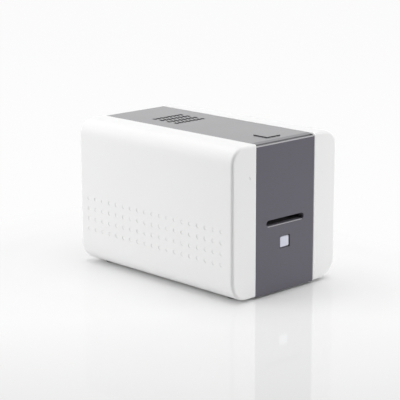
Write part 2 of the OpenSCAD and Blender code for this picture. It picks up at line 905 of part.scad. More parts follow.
module pinch_bridges() {
    color("silver") for (y = [exit_at, transport_at]) {
        difference() {
            union() {
                box([-plate_x + slack, y - 4, pinch_z + pinch_r + 1],
                    [plate_x - slack, y + 4, pinch_z + pinch_r + 2.5]);
                both() box([pinch_arm_x, y - 3, pinch_z - 0.9],
                    [pinch_arm_x + 2, y + 3, pinch_z + pinch_r + 1.5]);
                both() rod(pinch_arm_x, pinch_arm_x + 2, y, pinch_z, 3);
            }
            both() rod(pinch_arm_x - cut, pinch_arm_x + 2 + cut, y, pinch_z, pinch_shaft_r + fit);
            both() box([pinch_arm_x - 1, y - 4, bed_z],
                [pinch_arm_x + 3, y + 4, bed_z + rail_h + snug]);
        }
    }
}

// ---- feed drive ----------------------------------------------------------

module idler_a() {
    color("ivory") gear(idler_a_teeth, gear_m, turn_a, shaft_r + fit, gear_x, idler_a_at, axis_z);
}

module idler_b() {
    color("ivory") gear(idler_b_teeth, gear_m, turn_b, shaft_r + fit, gear_x, idler_b_at, axis_z);
}

module idler_c() {
    color("ivory") gear(idler_c_teeth, gear_m, turn_c, shaft_r + fit, gear_x, idler_c_at,
        axis_z - idler_c_drop);
}

module feed_motor() {
    color("dimgray") difference() {
        union() {
            box([plate_x - 28, idler_a_at - motor_half, pinion_z - motor_half],
                [plate_x - slack, idler_a_at + motor_half, pinion_z + motor_half]);
            rod(plate_x - 1, plate_out - 0.4, idler_a_at, pinion_z, 8);
        }
        rod(plate_x - 12, plate_out + 1, idler_a_at, pinion_z, 1.8 + fit);
    }
}

module feed_pinion() {
    color("gold") {
        gear(pinion_teeth, gear_m, turn_pinion, 1, gear_x, idler_a_at, pinion_z);
        rod(plate_x - 11, gear_x + gear_w + 1, idler_a_at, pinion_z, 1.8);
    }
}

// ---- ribbon cassette -----------------------------------------------------

module bar2(y0, z0, y1, z1) {
    translate([y0, z0]) square([y1 - y0, z1 - z0]);
}

module cassette_side() {
    for (y = [takeup_at, supply_at]) {
        translate([y, spool_z]) circle(r = 8, $fn = round_n);
        bar2(y - 4, spool_z - 27, y + 4, spool_z + 26);
    }
    bar2(takeup_at, spool_z + 12, supply_at, spool_z + 18);
    bar2(takeup_at, spool_z - 27, supply_at, spool_z - 21);
    for (s = [-1, 1]) {
        bar2(head_at + s * guide_span - 3, guide_z, head_at + s * guide_span + 3, spool_z - 22);
        translate([head_at + s * guide_span, guide_z]) circle(r = 3, $fn = round_n);
    }
}

module cassette_frame() {
    x0 = cassette_x;
    x1 = cassette_x + cassette_t;
    color("slategray") {
        both() difference() {
            union() {
                slab(x0, x1) cassette_side();
                for (y = [takeup_at, supply_at]) {
                    rod(x1 - cut, plate_x - slack, y, spool_z, 6);
                }
            }
            for (y = [takeup_at, supply_at]) {
                rod(x0 - cut, plate_x, y, spool_z, axle_r + fit);
            }
        }
        for (y = [takeup_at, supply_at]) {
            rod(-x0 - 1, x0 + 1, y, spool_z + 22.5, 2.5);
        }
        for (s = [-1, 1]) {
            rod(-x0 - 1, x0 + 1, head_at + s * guide_span, guide_z, guide_r);
        }
    }
}

module spool(y) {
    rod(-cassette_x + 0.6, cassette_x - 0.6, y, spool_z, spool_core_r);
    both() rod(cassette_x - 2, cassette_x - 0.6, y, spool_z, flange_r);
    rod(-cassette_x - cassette_t - 1.6, cassette_x + cassette_t + 1.6, y, spool_z, axle_r);
}

module ribbon_roll(y, r) {
    difference() {
        rod(-cassette_x + 2.4, cassette_x - 2.4, y, spool_z, r);
        rod(-cassette_x, cassette_x, y, spool_z, spool_core_r + fit);
    }
}

module supply_spool() {
    color("white") spool(supply_at);
}

module supply_roll() {
    color("indigo") ribbon_roll(supply_at, supply_r);
}

module takeup_spool() {
    color("white") spool(takeup_at);
}

module takeup_roll() {
    color("indigo") ribbon_roll(takeup_at, takeup_r);
}

module takeup_drive() {
    color("ivory") mirror([1, 0, 0]) {
        gear(takeup_teeth, ribbon_m, 0, axle_r - slack, gear_x, takeup_at, spool_z);
        rod(cassette_x + cassette_t + 2, gear_x + gear_w + 0.5, takeup_at, spool_z, axle_r);
    }
}

// one straight run of film, drawn between two points of the side view
module film_run(a, b) {
    d = b - a;
    n = [-d[1], d[0]] / norm(d) * film_t / 2;
    polygon([a - n, b - n, b + n, a + n]);
}

module ribbon_film() {
    low = guide_z - guide_r - snug - film_t / 2;
    flat = card_z + snug + 0.35;
    y0 = head_at - guide_span;
    y1 = head_at + guide_span;
    color("indigo") slab(snug - card_gap / 2, card_gap / 2 - snug) {
        film_run([takeup_at + 4, spool_z - takeup_r - 2], [y0 - 1, low]);
        film_run([y0 - 1, low], [head_at - 5, flat]);
        film_run([head_at - 5, flat], [head_at + 5, flat]);
        film_run([head_at + 5, flat], [y1 + 2, low]);
        film_run([y1 + 2, low], [supply_at - 8, spool_z - supply_r - 1]);
    }
}

module ribbon_motor() {
    color("silver") mirror([1, 0, 0]) difference() {
        union() {
            rod(bracket_x + plate_t, bracket_x + plate_t + 22, takeup_at, ribbon_z, can_r);
            rod(bracket_x, bracket_x + plate_t + 1, takeup_at, ribbon_z, 2.8);
        }
        rod(bracket_x - 1, bracket_x + 10, takeup_at, ribbon_z, 1 + fit);
    }
}

module ribbon_pinion() {
    color("gold") mirror([1, 0, 0]) {
        gear(ribbon_teeth, ribbon_m, turn_ribbon, 0.8, gear_x, takeup_at, ribbon_z);
        rod(gear_x - 0.4, bracket_x + 9, takeup_at, ribbon_z, 1);
    }
}

module ribbon_bracket() {
    x0 = bracket_x;
    x1 = bracket_x + plate_t;
    y0 = takeup_at - 14;
    y1 = takeup_at + 14;
    color("lightsteelblue") mirror([1, 0, 0]) difference() {
        union() {
            box([x0, y0, ribbon_z - 14], [x1, y1, ribbon_z + 14]);
            box([plate_out, y0, ribbon_z - 14], [x1, y0 + plate_t, ribbon_z - 3]);
            box([plate_out, y1 - plate_t, ribbon_z - 14], [x1, y1, ribbon_z - 3]);
        }
        rod(x0 - cut, x1 + cut, takeup_at, ribbon_z, 3);
    }
}

// ---- print head ----------------------------------------------------------

module head_bracket() {
    y0 = head_at - head_half - 2;
    y1 = head_at + head_half + 2;
    z0 = head_plate_z;
    x1 = head_x + 1;
    t = 1.4;
    color("lightsteelblue") difference() {
        union() {
            box([-x1, y0, z0], [x1, y1, z0 + 2]);
            both() box([x1 - t, y0, z0], [x1, y1, lid_under - slack]);
            both() box([x1 - 9, y0, lid_under - slack - t], [x1, y1, lid_under - slack]);
        }
        both() translate([post_x, head_at, z0 - cut])
            cylinder(r = post_r + fit, h = 3, $fn = round_n);
    }
}

module print_head() {
    color("gainsboro") difference() {
        union() {
            box([-head_x, head_at - head_half, sink_z],
                [head_x, head_at + head_half, sink_z + sink_h]);
            both() translate([post_x, head_at, sink_z + sink_h - cut]) {
                cylinder(r = post_r, h = 10 + cut, $fn = round_n);
                translate([0, 0, 8 + slack + cut])
                    cylinder(r = post_r + 1.5, h = 1.2, $fn = round_n);
            }
        }
        for (i = [-1, 0, 1]) {
            box([-14, head_at + i * 4.4 - 1.2, sink_z + 4],
                [14, head_at + i * 4.4 + 1.2, sink_z + sink_h + cut]);
        }
    }
}

module head_strip() {
    color("white") box([1 - head_x, head_at - 4, strip_z], [head_x - 1, head_at + 4, sink_z]);
}

module head_springs() {
    color("silver") both() translate([post_x, head_at, sink_z + sink_h + slack]) difference() {
        cylinder(r = post_r + 2, h = 6 - 2 * slack, $fn = round_n);
        translate([0, 0, -cut]) cylinder(r = post_r + 1, h = 8, $fn = round_n);
    }
}

// ---- lid fan -------------------------------------------------------------

module fan_frame() {
    h = fan_half;
    color("black") translate([0, vent_y, fan_z]) {
        difference() {
            box([-h, -h, 0], [h, h, fan_h]);
            translate([0, 0, -cut]) cylinder(r = h - 1.3, h = fan_h + 2 * cut, $fn = fine_n);
        }
        cylinder(r = 8, h = 1.6, $fn = round_n);
        cylinder(r = 1.5, h = 7, $fn = round_n);
        for (a = [0, 120, 240]) {
            rotate(a) translate([0, -1.2, 0]) cube([h - 0.6, 2.4, 1.6]);
        }
    }
}

module fan_rotor() {
    color("dimgray") translate([0, vent_y, fan_z + 1.9]) difference() {
        union() {
            cylinder(r = 8, h = 7.2, $fn = round_n);
            intersection() {
                for (a = [0:51.4285:359]) {
                    rotate(a) translate([6, 0, 3.6]) rotate([38, 0, 0])
                        translate([0, -4.4, -0.5]) cube([16, 8.8, 1]);
                }
                cylinder(r = fan_half - 1.9, h = 7.2, $fn = fine_n);
            }
        }
        translate([0, 0, -cut]) cylinder(r = 1.5 + fit, h = 6, $fn = round_n);
    }
}

// ---- electronics ---------------------------------------------------------

module main_board() {
    color("green") box([-34, -60, board_z], [34, panel_in - 2, port_floor]);
}

module board_parts() {
    z = port_floor;
    color("black") {
        box([-24, -45, z], [-10, -31, z + 2]);
        box([4, -48, z], [20, -28, z + 2.6]);
        box([-26, -10, z], [-4, 12, z + 1.8]);
        box([10, -8, z], [18, 8, z + 10]);
        for (i = [0:3]) {
            translate([-22 + i * 13, 48, z]) cylinder(r = 4, h = 12, $fn = round_n);
        }
        box([-28, 70, z], [-6, 82, z + 3]);
        box([6, 66, z], [28, 76, z + 8]);
    }
}

module rear_ports() {
    depth = 16;
    color("silver") {
        for (p = ports) {
            difference() {
                box([p[0] - p[1] / 2, port_y - depth, port_floor],
                    [p[0] + p[1] / 2, port_y, port_floor + p[2]]);
                box([p[0] - p[1] / 2 + 1.2, port_y - depth + 3, port_floor + 1.2],
                    [p[0] + p[1] / 2 - 1.2, port_y + cut, port_floor + p[2] - 1.2]);
            }
        }
        difference() {
            box([rocker_x - rocker_w, panel_in - 12, rocker_z - rocker_h],
                [rocker_x + rocker_w, port_y, rocker_z + rocker_h]);
            box([rocker_x - rocker_w + 1.5, panel_in - 8, rocker_z - rocker_h + 2],
                [rocker_x + rocker_w - 1.5, panel_y + 1, rocker_z + rocker_h - 2]);
            rod(rocker_x - rocker_pin_x - snug, rocker_x + rocker_pin_x + snug, rocker_y,
                rocker_z, rocker_pin_r + fit);
        }
    }
}

module power_rocker() {
    y0 = rocker_y - 2;
    color("black") {
        slab(rocker_x - 5.2, rocker_x + 5.2) polygon([
            [y0, rocker_z - 5], [y0 + 8, rocker_z - 7.6], [y0 + 6.6, rocker_z],
            [y0 + 8, rocker_z + 7.6], [y0, rocker_z + 5]]);
        rod(rocker_x - rocker_pin_x, rocker_x + rocker_pin_x, rocker_y, rocker_z, rocker_pin_r);
    }
}

module front_button() {
    y0 = -panel_y + 0.6;
    y1 = -panel_in + snug;
    color("lightgray") {
        window(lens_w, lens_h, y0, y1 + 0.5, lens_z);
        window(window_w + 2, window_h + 2, y1, y1 + 1.2, lens_z);
        translate([0, y1 + 2.2, lens_z]) rotate([90, 0, 0])
            cylinder(r = 2, h = 2, $fn = round_n);
    }
}

module button_board() {
    y0 = button_board_y;
    color("green") {
        box([-16, y0, lens_z - 13], [16, y0 + board_t, lens_z + 13]);
        box([-3, y0 - 2.6, lens_z - 3], [3, y0 + cut, lens_z + 3]);
        both() box([5, y0 - 1.2, lens_z + 4], [8, y0 + cut, lens_z + 6]);
    }
}

// ---- output --------------------------------------------------------------

left_cover();
right_cover();
front_panel();
rear_panel();
base_tray();
rubber_feet();
cover_screws();
lid();
hinge_pin();
front_button();
release_button();
release_spring();
latch_bar();
left_plate();
right_plate();
cross_bars();
chassis_screws();
frame_studs();
card_bed();
card_hopper();
card_weight();
platen_shaft();
platen_sleeve();
platen_gear();
exit_core();
exit_tyres();
transport_core();
transport_tyres();
pick_core();
pick_tyres();
roller_bushes();
exit_pinch();
cleaning_roller();
pinch_bridges();
idler_a();
idler_b();
idler_c();
feed_motor();
feed_pinion();
cassette_frame();
supply_spool();
supply_roll();
takeup_spool();
takeup_roll();
takeup_drive();
ribbon_film();
ribbon_motor();
ribbon_pinion();
ribbon_bracket();
head_bracket();
print_head();
head_strip();
head_springs();
fan_frame();
fan_rotor();
main_board();
board_parts();
rear_ports();
power_rocker();
button_board();
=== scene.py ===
"""Looks of the desktop card printer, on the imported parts.

Finishes go onto the CAD nodes as they are. Fine pieces, such as coils, threads,
windings, blades and leads, ride on the same bodies and stand in for plain solids. The
camera, the floor and the light of the photograph come last.

Shapes are worked out in mm on the part's own axes (x to the right, y to the back, z up)
and turned into metres when they become a mesh."""
import json

import bpy
import numpy as np
from mathutils import Matrix, Vector


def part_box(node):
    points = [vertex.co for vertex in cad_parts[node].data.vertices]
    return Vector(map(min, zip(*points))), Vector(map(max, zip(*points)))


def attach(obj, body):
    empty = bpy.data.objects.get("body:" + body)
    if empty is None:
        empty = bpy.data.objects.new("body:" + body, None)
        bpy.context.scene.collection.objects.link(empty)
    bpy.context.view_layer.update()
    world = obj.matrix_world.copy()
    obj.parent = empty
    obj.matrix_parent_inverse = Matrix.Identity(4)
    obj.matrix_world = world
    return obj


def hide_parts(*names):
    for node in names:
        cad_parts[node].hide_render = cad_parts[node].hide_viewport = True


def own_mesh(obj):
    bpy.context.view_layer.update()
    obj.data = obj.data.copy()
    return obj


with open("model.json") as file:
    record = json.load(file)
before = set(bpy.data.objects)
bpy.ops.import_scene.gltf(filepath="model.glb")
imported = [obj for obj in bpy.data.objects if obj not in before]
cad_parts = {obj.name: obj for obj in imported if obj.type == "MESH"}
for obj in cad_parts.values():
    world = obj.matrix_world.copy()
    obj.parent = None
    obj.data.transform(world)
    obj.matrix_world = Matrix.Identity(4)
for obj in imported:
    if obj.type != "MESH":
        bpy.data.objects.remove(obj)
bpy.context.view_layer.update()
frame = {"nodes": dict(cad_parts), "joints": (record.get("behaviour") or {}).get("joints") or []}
nodes = frame["nodes"]


# ---- sizes and places, in mm ----

MM = 0.001
JOINTS = {joint["name"]: joint for joint in frame["joints"]}


def corners(name):
    """Lowest and highest corner of a CAD node."""
    return [np.array(corner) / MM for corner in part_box(name)]


def hinge_place(name):
    """The point that a hinge's axis is given by."""
    return np.array(JOINTS[name]["pos_m"]) / MM


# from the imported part; the print head stands over the platen roller
HEAD_Y = hinge_place("platen_spin")[1]
SUPPLY_Y, SPOOL_Z = hinge_place("supply_spin")[1:]
TAKEUP_Y = hinge_place("takeup_spin")[1]
FAN_Y = hinge_place("fan_spin")[1]
BOARD_TOP = corners("main_board")[1][2]
TRAY_FLOOR = corners("left_plate")[0][2]

# the same values as in part.scad
CARD_Z = 79.7
GUIDE_SPAN, GUIDE_Z, GUIDE_R = 16.0, CARD_Z + 5.5, 2.0
SUPPLY_R, TAKEUP_R = 15.0, 9.0
FAN_HUB_R, FAN_TIP_R = 8.0, 18.1
SCREW_R, SCREW_HEAD_R, SCREW_HEAD_T = 1.45, 3.0, 1.4
PLATE_OUT, PLATE_T = 38.2, 1.2
FLANGE_X, FLANGE_Y = 43.0, 80.0
COVER_WALL = 2.4
CROSS_BARS = [(-106.0, 106.0), (100.0, 60.0), (-81.0, 35.2)]
HEAD_POST_R = 2.5

# wound film: the core that it starts on, half the roll's length and half the film's width
CORE_R, ROLL_HALF, FILM_HALF = 6.05, 28.6, 27.0


# ---- shader helpers ----

def feed(tree, made, inputs):
    """Gives a node its inputs, by name or number: a number, triple or colour is set, and
    another node's socket is linked."""
    for key, given in inputs.items():
        if isinstance(given, (int, float, tuple)):
            made.inputs[key].default_value = given
        else:
            tree.links.new(given, made.inputs[key])


def node(tree, kind, inputs=None, **settings):
    """A new node with its properties and its inputs."""
    made = tree.nodes.new(kind)
    for key, value in settings.items():
        setattr(made, key, value)
    feed(tree, made, inputs or {})
    return made


def math(tree, operation, *parts, clamp=False):
    """One arithmetic node on sockets or numbers."""
    made = node(tree, "ShaderNodeMath", dict(enumerate(parts)), operation=operation,
                use_clamp=clamp)
    return made.outputs[0]


def vector_math(tree, operation, *parts, output="Vector"):
    """One vector node on sockets or triples."""
    made = node(tree, "ShaderNodeVectorMath", dict(enumerate(parts)), operation=operation)
    return made.outputs[output]


def object_place(tree):
    """The place on the object, in metres."""
    return node(tree, "ShaderNodeTexCoord").outputs["Object"]


def noise(tree, place, scale, **inputs):
    """Noise from 0 to 1 at a place, with its other inputs by name."""
    made = node(tree, "ShaderNodeTexNoise", {"Vector": place, "Scale": scale, **inputs})
    return made.outputs["Fac"]


def map_range(tree, value, start, end, low=0.0, high=1.0, kind="LINEAR"):
    """A value that runs from low to high as the given one goes from start to end."""
    inputs = {"Value": value, "From Min": start, "From Max": end, "To Min": low, "To Max": high}
    return node(tree, "ShaderNodeMapRange", inputs, interpolation_type=kind).outputs["Result"]


def ramp(tree, value, stops, kind):
    """Colours along a value, from (place, colour) pairs in rising order."""
    made = node(tree, "ShaderNodeValToRGB", {0: value})
    made.color_ramp.interpolation = kind
    marks = made.color_ramp.elements
    marks[0].position, marks[0].color = stops[0]
    marks[1].position, marks[1].color = stops[-1]
    for place, colour in stops[1:-1]:
        marks.new(place).color = colour
    return made.outputs["Color"]


def mix_shaders(tree, share, first, second):
    """The first shader, which gives way to the second as the share goes to 1."""
    return node(tree, "ShaderNodeMixShader", {0: share, 1: first, 2: second}).outputs[0]


def sees_backdrop(tree):
    """1 on the rays that show a white backdrop: from the camera, from a mirror, or
    through something clear."""
    rays = node(tree, "ShaderNodeLightPath").outputs
    seen = math(tree, "MAXIMUM", rays["Is Camera Ray"], rays["Is Glossy Ray"])
    return math(tree, "MAXIMUM", seen, rays["Is Transmission Ray"])


def linear(r, g, b):
    """Colour given as display values from 0 to 255, turned into scene values by the
    sRGB curve."""
    c = np.array([r, g, b]) / 255.0
    c = np.where(c <= 0.04045, c / 12.92, ((c + 0.055) / 1.055) ** 2.4)
    return (float(c[0]), float(c[1]), float(c[2]), 1.0)


# ---- surface groups ----

NOISE_MIDDLE = 0.5


def surface_group(name, inputs):
    """A node group that puts out a tone, a roughness and a height; its float inputs
    are given as (name, default, low, high)."""
    tree = bpy.data.node_groups.new(name, "ShaderNodeTree")
    for label, value, low, high in inputs:
        socket = tree.interface.new_socket(label, in_out="INPUT", socket_type="NodeSocketFloat")
        socket.default_value = value
        socket.min_value = low
        socket.max_value = high
    for label in ("Tone", "Roughness", "Height"):
        tree.interface.new_socket(label, in_out="OUTPUT", socket_type="NodeSocketFloat")
    given = tree.nodes.new("NodeGroupInput").outputs
    result = tree.nodes.new("NodeGroupOutput").inputs
    return tree, given, result


def moulded_group():
    """Injection-moulded plastic: a fine spark-eroded grain, a slow drift of tone
    from flow and handling, and a gloss that drifts with it."""
    tree, given, result = surface_group(
        "moulded_grain",
        [("Grain Scale", 2500.0, 1.0, 20000.0), ("Grain", 0.5, 0.0, 1.0),
         ("Drift", 0.02, 0.0, 1.0), ("Gloss", 0.4, 0.0, 1.0), ("Gloss Drift", 0.05, 0.0, 1.0)])
    link = tree.links.new
    grain_in_gloss, pits_in_height = 0.5, 0.5
    place = object_place(tree)
    grain = noise(tree, place, given["Grain Scale"], Detail=2.0, Roughness=0.6)
    slow = noise(tree, place, scale=14.0, Detail=3.0)
    pits = node(tree, "ShaderNodeTexVoronoi",
                {"Vector": place, "Scale": given["Grain Scale"], "Randomness": 1.0})
    swing = math(tree, "SUBTRACT", slow, NOISE_MIDDLE)
    tone = math(tree, "MULTIPLY_ADD", swing, given["Drift"], 1.0)
    fine = math(tree, "SUBTRACT", grain, NOISE_MIDDLE)
    fine = math(tree, "MULTIPLY", fine, given["Drift"])
    link(math(tree, "ADD", tone, fine), result["Tone"])
    rough = math(tree, "MULTIPLY_ADD", swing, given["Gloss Drift"], given["Gloss"])
    fine = math(tree, "MULTIPLY", fine, grain_in_gloss)
    link(math(tree, "ADD", rough, fine, clamp=True), result["Roughness"])
    height = math(tree, "MULTIPLY_ADD", pits.outputs["Distance"], pits_in_height, grain)
    link(math(tree, "MULTIPLY", height, given["Grain"]), result["Height"])
    return tree


def drawn_group():
    """Rolled, drawn or ground metal: long fine scratches along one axis, which
    is chosen by stretching the coordinates, over a slow change of gloss."""
    tree, given, result = surface_group(
        "drawn_metal",
        [("Along X", 1.0, 0.0, 10.0), ("Along Y", 1.0, 0.0, 10.0), ("Along Z", 1.0, 0.0, 10.0),
         ("Scratch", 0.5, 0.0, 1.0), ("Gloss", 0.3, 0.0, 1.0), ("Drift", 0.05, 0.0, 1.0)])
    link = tree.links.new
    swing_in_gloss, least_roughness = 0.25, 0.05
    place = object_place(tree)
    stretch = node(tree, "ShaderNodeCombineXYZ",
                   {axis: given["Along " + axis] for axis in "XYZ"})
    stretched = vector_math(tree, "MULTIPLY", place, stretch.outputs[0])
    lines = noise(tree, stretched, scale=900.0, Detail=4.0, Roughness=0.65)
    slow = noise(tree, place, scale=30.0, Detail=2.0)
    swing = math(tree, "ADD", math(tree, "SUBTRACT", lines, NOISE_MIDDLE),
                 math(tree, "SUBTRACT", slow, NOISE_MIDDLE))
    link(math(tree, "MULTIPLY_ADD", swing, given["Drift"], 1.0), result["Tone"])
    rough = math(tree, "MULTIPLY_ADD", swing, swing_in_gloss, given["Gloss"])
    link(math(tree, "MAXIMUM", rough, least_roughness, clamp=True), result["Roughness"])
    link(math(tree, "MULTIPLY", lines, given["Scratch"]), result["Height"])
    return tree


MOULDED = moulded_group()
DRAWN = drawn_group()


# ---- finishes ----

GRAIN_DEPTH, SCRATCH_DEPTH, SCRATCH_BUMP = 0.04 * MM, 0.03 * MM, 0.2


def surface_material(name, group, rgb, bump, depth, values, sockets):
    """A Principled material whose tone, gloss and relief come from one group."""
    mat = bpy.data.materials.new(name)
    mat.use_nodes = True
    tree = mat.node_tree
    surface = node(tree, "ShaderNodeGroup", values, node_tree=group).outputs
    tint = node(tree, "ShaderNodeVectorMath",
                {0: linear(*rgb)[:3], "Scale": surface["Tone"]}, operation="SCALE")
    relief = node(tree, "ShaderNodeBump",
                  {"Strength": bump, "Distance": depth, "Height": surface["Height"]})
    feed(tree, tree.nodes["Principled BSDF"],
         {"Base Color": tint.outputs[0], "Roughness": surface["Roughness"],
          "Normal": relief.outputs[0], **sockets})
    return mat


def plastic(name, rgb, *, gloss, grain, drift, scale=2500.0, bump=0.25, **sockets):
    """Moulded plastic or rubber; more of the shader's sockets by name, with _ for a
    space."""
    return surface_material(name, MOULDED, rgb, bump, GRAIN_DEPTH,
                            {"Grain Scale": scale, "Grain": grain, "Drift": drift,
                             "Gloss": gloss, "Gloss Drift": 0.08},
                            {key.replace("_", " "): value for key, value in sockets.items()})


def metal(name, rgb, *, gloss, scratch=0.5, along=(0.04, 1.0, 1.0)):
    """Bare or plated metal; its scratches run along the axis with the small number."""
    return surface_material(name, DRAWN, rgb, SCRATCH_BUMP, SCRATCH_DEPTH,
                            {"Along X": along[0], "Along Y": along[1], "Along Z": along[2],
                             "Scratch": scratch, "Gloss": gloss, "Drift": 0.12},
                            {"Metallic": 1.0})


def within(mat, soft, **spans):
    """Mask of a box in object coordinates, given in mm as X=(low, high) and so on, that
    fades out over the soft width; |X| is used for the span named side."""
    tree = mat.node_tree
    split = node(tree, "ShaderNodeSeparateXYZ", {0: object_place(tree)})
    mask = 1.0
    for axis, (low, high) in spans.items():
        value = (math(tree, "ABSOLUTE", split.outputs["X"]) if axis == "side"
                 else split.outputs[axis])
        for start, full in ((low - soft, low), (high + soft, high)):
            mask = math(tree, "MULTIPLY", mask, map_range(tree, value, start * MM, full * MM))
    return mask


def tint_where(mat, mask, rgb, coat=0.0):
    """Blends a second colour, and a coat, into a finish where the mask is 1."""
    tree = mat.node_tree
    shader = tree.nodes["Principled BSDF"]
    first = shader.inputs["Base Color"].links[0].from_socket
    # the mixer's colour sockets share their names with others, so they go by number
    blend = node(tree, "ShaderNodeMix", {"Factor": mask, 6: first, 7: linear(*rgb)},
                 data_type="RGBA")
    feed(tree, shader, {"Base Color": blend.outputs[2]})
    if coat:
        feed(tree, shader, {"Coat Weight": math(tree, "MULTIPLY", mask, coat)})


# ---- edges that catch the light or stay dark ----

CLEAR = 5.0  # how far a mask reaches past the surface, into the open


def painted_highlight_cover_edges(mat):
    """Painted highlight: white at the front of the covers, along the edge beside the dark band.
    """
    edge, front = corners("right_cover")[0][:2]
    wide, deep = 0.8, 3.0
    mask = within(mat, 0.2, side=(edge - CLEAR, edge + wide), Y=(front - CLEAR, front + deep))
    tint_where(mat, mask, (254, 254, 254))


def painted_highlight_panel_edges(mat):
    """Painted highlight, under a glossy coat, on edges of the front panel: the lower lip of the
    card slot and, a little less, the top edge."""
    low, high = corners("front_panel")
    front, top = low[1], high[2]
    lip_half, lip_drop, lip_tall, lip_start, lip_end = 27.0, 4.0, 0.7, 0.05, 2.6
    rim_tall, rim_deep, rim_share = 0.7, 23.1, 0.8
    tree = mat.node_tree
    lip_z = CARD_Z - lip_drop
    lip = math(tree, "MULTIPLY", within(mat, 0.03, Y=(front + lip_start, front + lip_end)),
               within(mat, 0.5, side=(0.0, lip_half), Z=(lip_z, lip_z + lip_tall)))
    rim = within(mat, 0.1, Z=(top - rim_tall, top + CLEAR), Y=(front - CLEAR, front + rim_deep))
    edge = math(tree, "MAXIMUM", lip, math(tree, "MULTIPLY", rim, rim_share))
    tint_where(mat, edge, (180, 179, 182), coat=0.6)


def painted_highlight_lid_front(mat):
    """Painted highlight: a light line along the foot of the lid's front, where it comes up
    behind the panel."""
    low, high = corners("lid")
    front, top = low[1], high[2]
    drop, tall, deep = 2.2, 6.4, 0.4
    mask = within(mat, 0.2, Z=(top - drop - tall, top - drop), Y=(front - CLEAR, front + deep))
    tint_where(mat, mask, (150, 149, 152))


def painted_shade_button_sides(mat):
    """Painted shade: dark sides of the release button, which draw its outline on the lid."""
    top = corners("release_button")[1][2]
    rim, tall = 0.25, 9.25
    tint_where(mat, within(mat, 0.1, Z=(top - rim - tall, top - rim)), (44, 43, 46))


# ---- materials ----

LID_FINISH = dict(gloss=0.3, grain=0.5, scale=2300.0, drift=0.04, bump=0.12,
                  Coat_Weight=0.5, Coat_Roughness=0.22)

white_shell = plastic("white_shell", (233, 233, 233), gloss=0.5, grain=0.35, scale=2600.0,
                      drift=0.012, bump=0.12)
dark_face = plastic("dark_face", (91, 89, 98), gloss=0.5, grain=0.8, scale=2100.0, drift=0.05,
                    bump=0.3, Specular_IOR_Level=0.4)
dark_lid = plastic("dark_lid", (90, 89, 93), **LID_FINISH)
# the lid's finish, which gets painted shade on the release button's sides further down
button_with_painted_shade = plastic("button_with_painted_shade", (90, 89, 93), **LID_FINISH)
tray_grey = plastic("tray_grey", (74, 74, 77), gloss=0.55, grain=0.8, drift=0.05)
foot_rubber = plastic("foot_rubber", (86, 86, 88), gloss=0.7, grain=0.9, scale=1600.0,
                      drift=0.15, bump=0.4)
guide_black = plastic("guide_black", (74, 72, 76), gloss=0.45, grain=0.7, drift=0.05)
roller_black = plastic("roller_black", (44, 44, 46), gloss=0.62, grain=0.9, scale=3200.0,
                       drift=0.1, bump=0.35)
cleaner_blue = plastic("cleaner_blue", (70, 120, 168), gloss=0.35, grain=0.4, drift=0.08)
acetal = plastic("acetal", (226, 222, 208), gloss=0.36, grain=0.3, drift=0.03)
cassette_blue = plastic("cassette_blue", (58, 66, 86), gloss=0.33, grain=0.5, drift=0.05)
spool_white = plastic("spool_white", (226, 226, 222), gloss=0.34, grain=0.3, drift=0.03)
ribbon_dark = plastic("ribbon_dark", (52, 38, 84), gloss=0.18, grain=0.2, scale=900.0,
                      drift=0.25, bump=0.1)
fan_black = plastic("fan_black", (68, 68, 70), gloss=0.42, grain=0.5, drift=0.06)
board_green = plastic("board_green", (28, 92, 56), gloss=0.32, grain=0.6, scale=1200.0,
                      drift=0.25, bump=0.2)
chip_black = plastic("chip_black", (38, 38, 41), gloss=0.5, grain=0.8, drift=0.1)
switch_black = plastic("switch_black", (30, 30, 31), gloss=0.36, grain=0.6, drift=0.06)
lens_white = plastic("lens_white", (206, 208, 222), gloss=0.24, grain=0.25, drift=0.02,
                     bump=0.08, Coat_Weight=0.3)
motor_black = plastic("motor_black", (44, 44, 47), gloss=0.38, grain=0.6, drift=0.08)
ceramic_white = plastic("ceramic_white", (224, 222, 212), gloss=0.15, grain=0.3, drift=0.05)
sheet_zinc = metal("sheet_zinc", (196, 198, 202), gloss=0.34, along=(1.0, 0.05, 1.0))
pin_bright = metal("pin_bright", (206, 206, 208), gloss=0.16, scratch=0.3,
                   along=(1.0, 0.2, 0.2))
screw_zinc = metal("screw_zinc", (178, 180, 184), gloss=0.3)
brass = metal("brass", (214, 178, 104), gloss=0.26)
motor_can = metal("motor_can", (190, 192, 196), gloss=0.28, along=(0.06, 1.0, 1.0))
aluminium = metal("aluminium", (206, 208, 212), gloss=0.34, along=(0.05, 1.0, 1.0))
port_tin = metal("port_tin", (200, 201, 204), gloss=0.24)
contact_gold = metal("contact_gold", (226, 190, 112), gloss=0.2, scratch=0.2)
spring_wire = metal("spring_wire", (198, 200, 204), gloss=0.22, along=(0.5, 0.5, 1.0))

# painted highlights and painted shade, added as colour to these finishes
painted_highlight_cover_edges(white_shell)
painted_highlight_panel_edges(dark_face)
painted_highlight_lid_front(dark_lid)
painted_shade_button_sides(button_with_painted_shade)

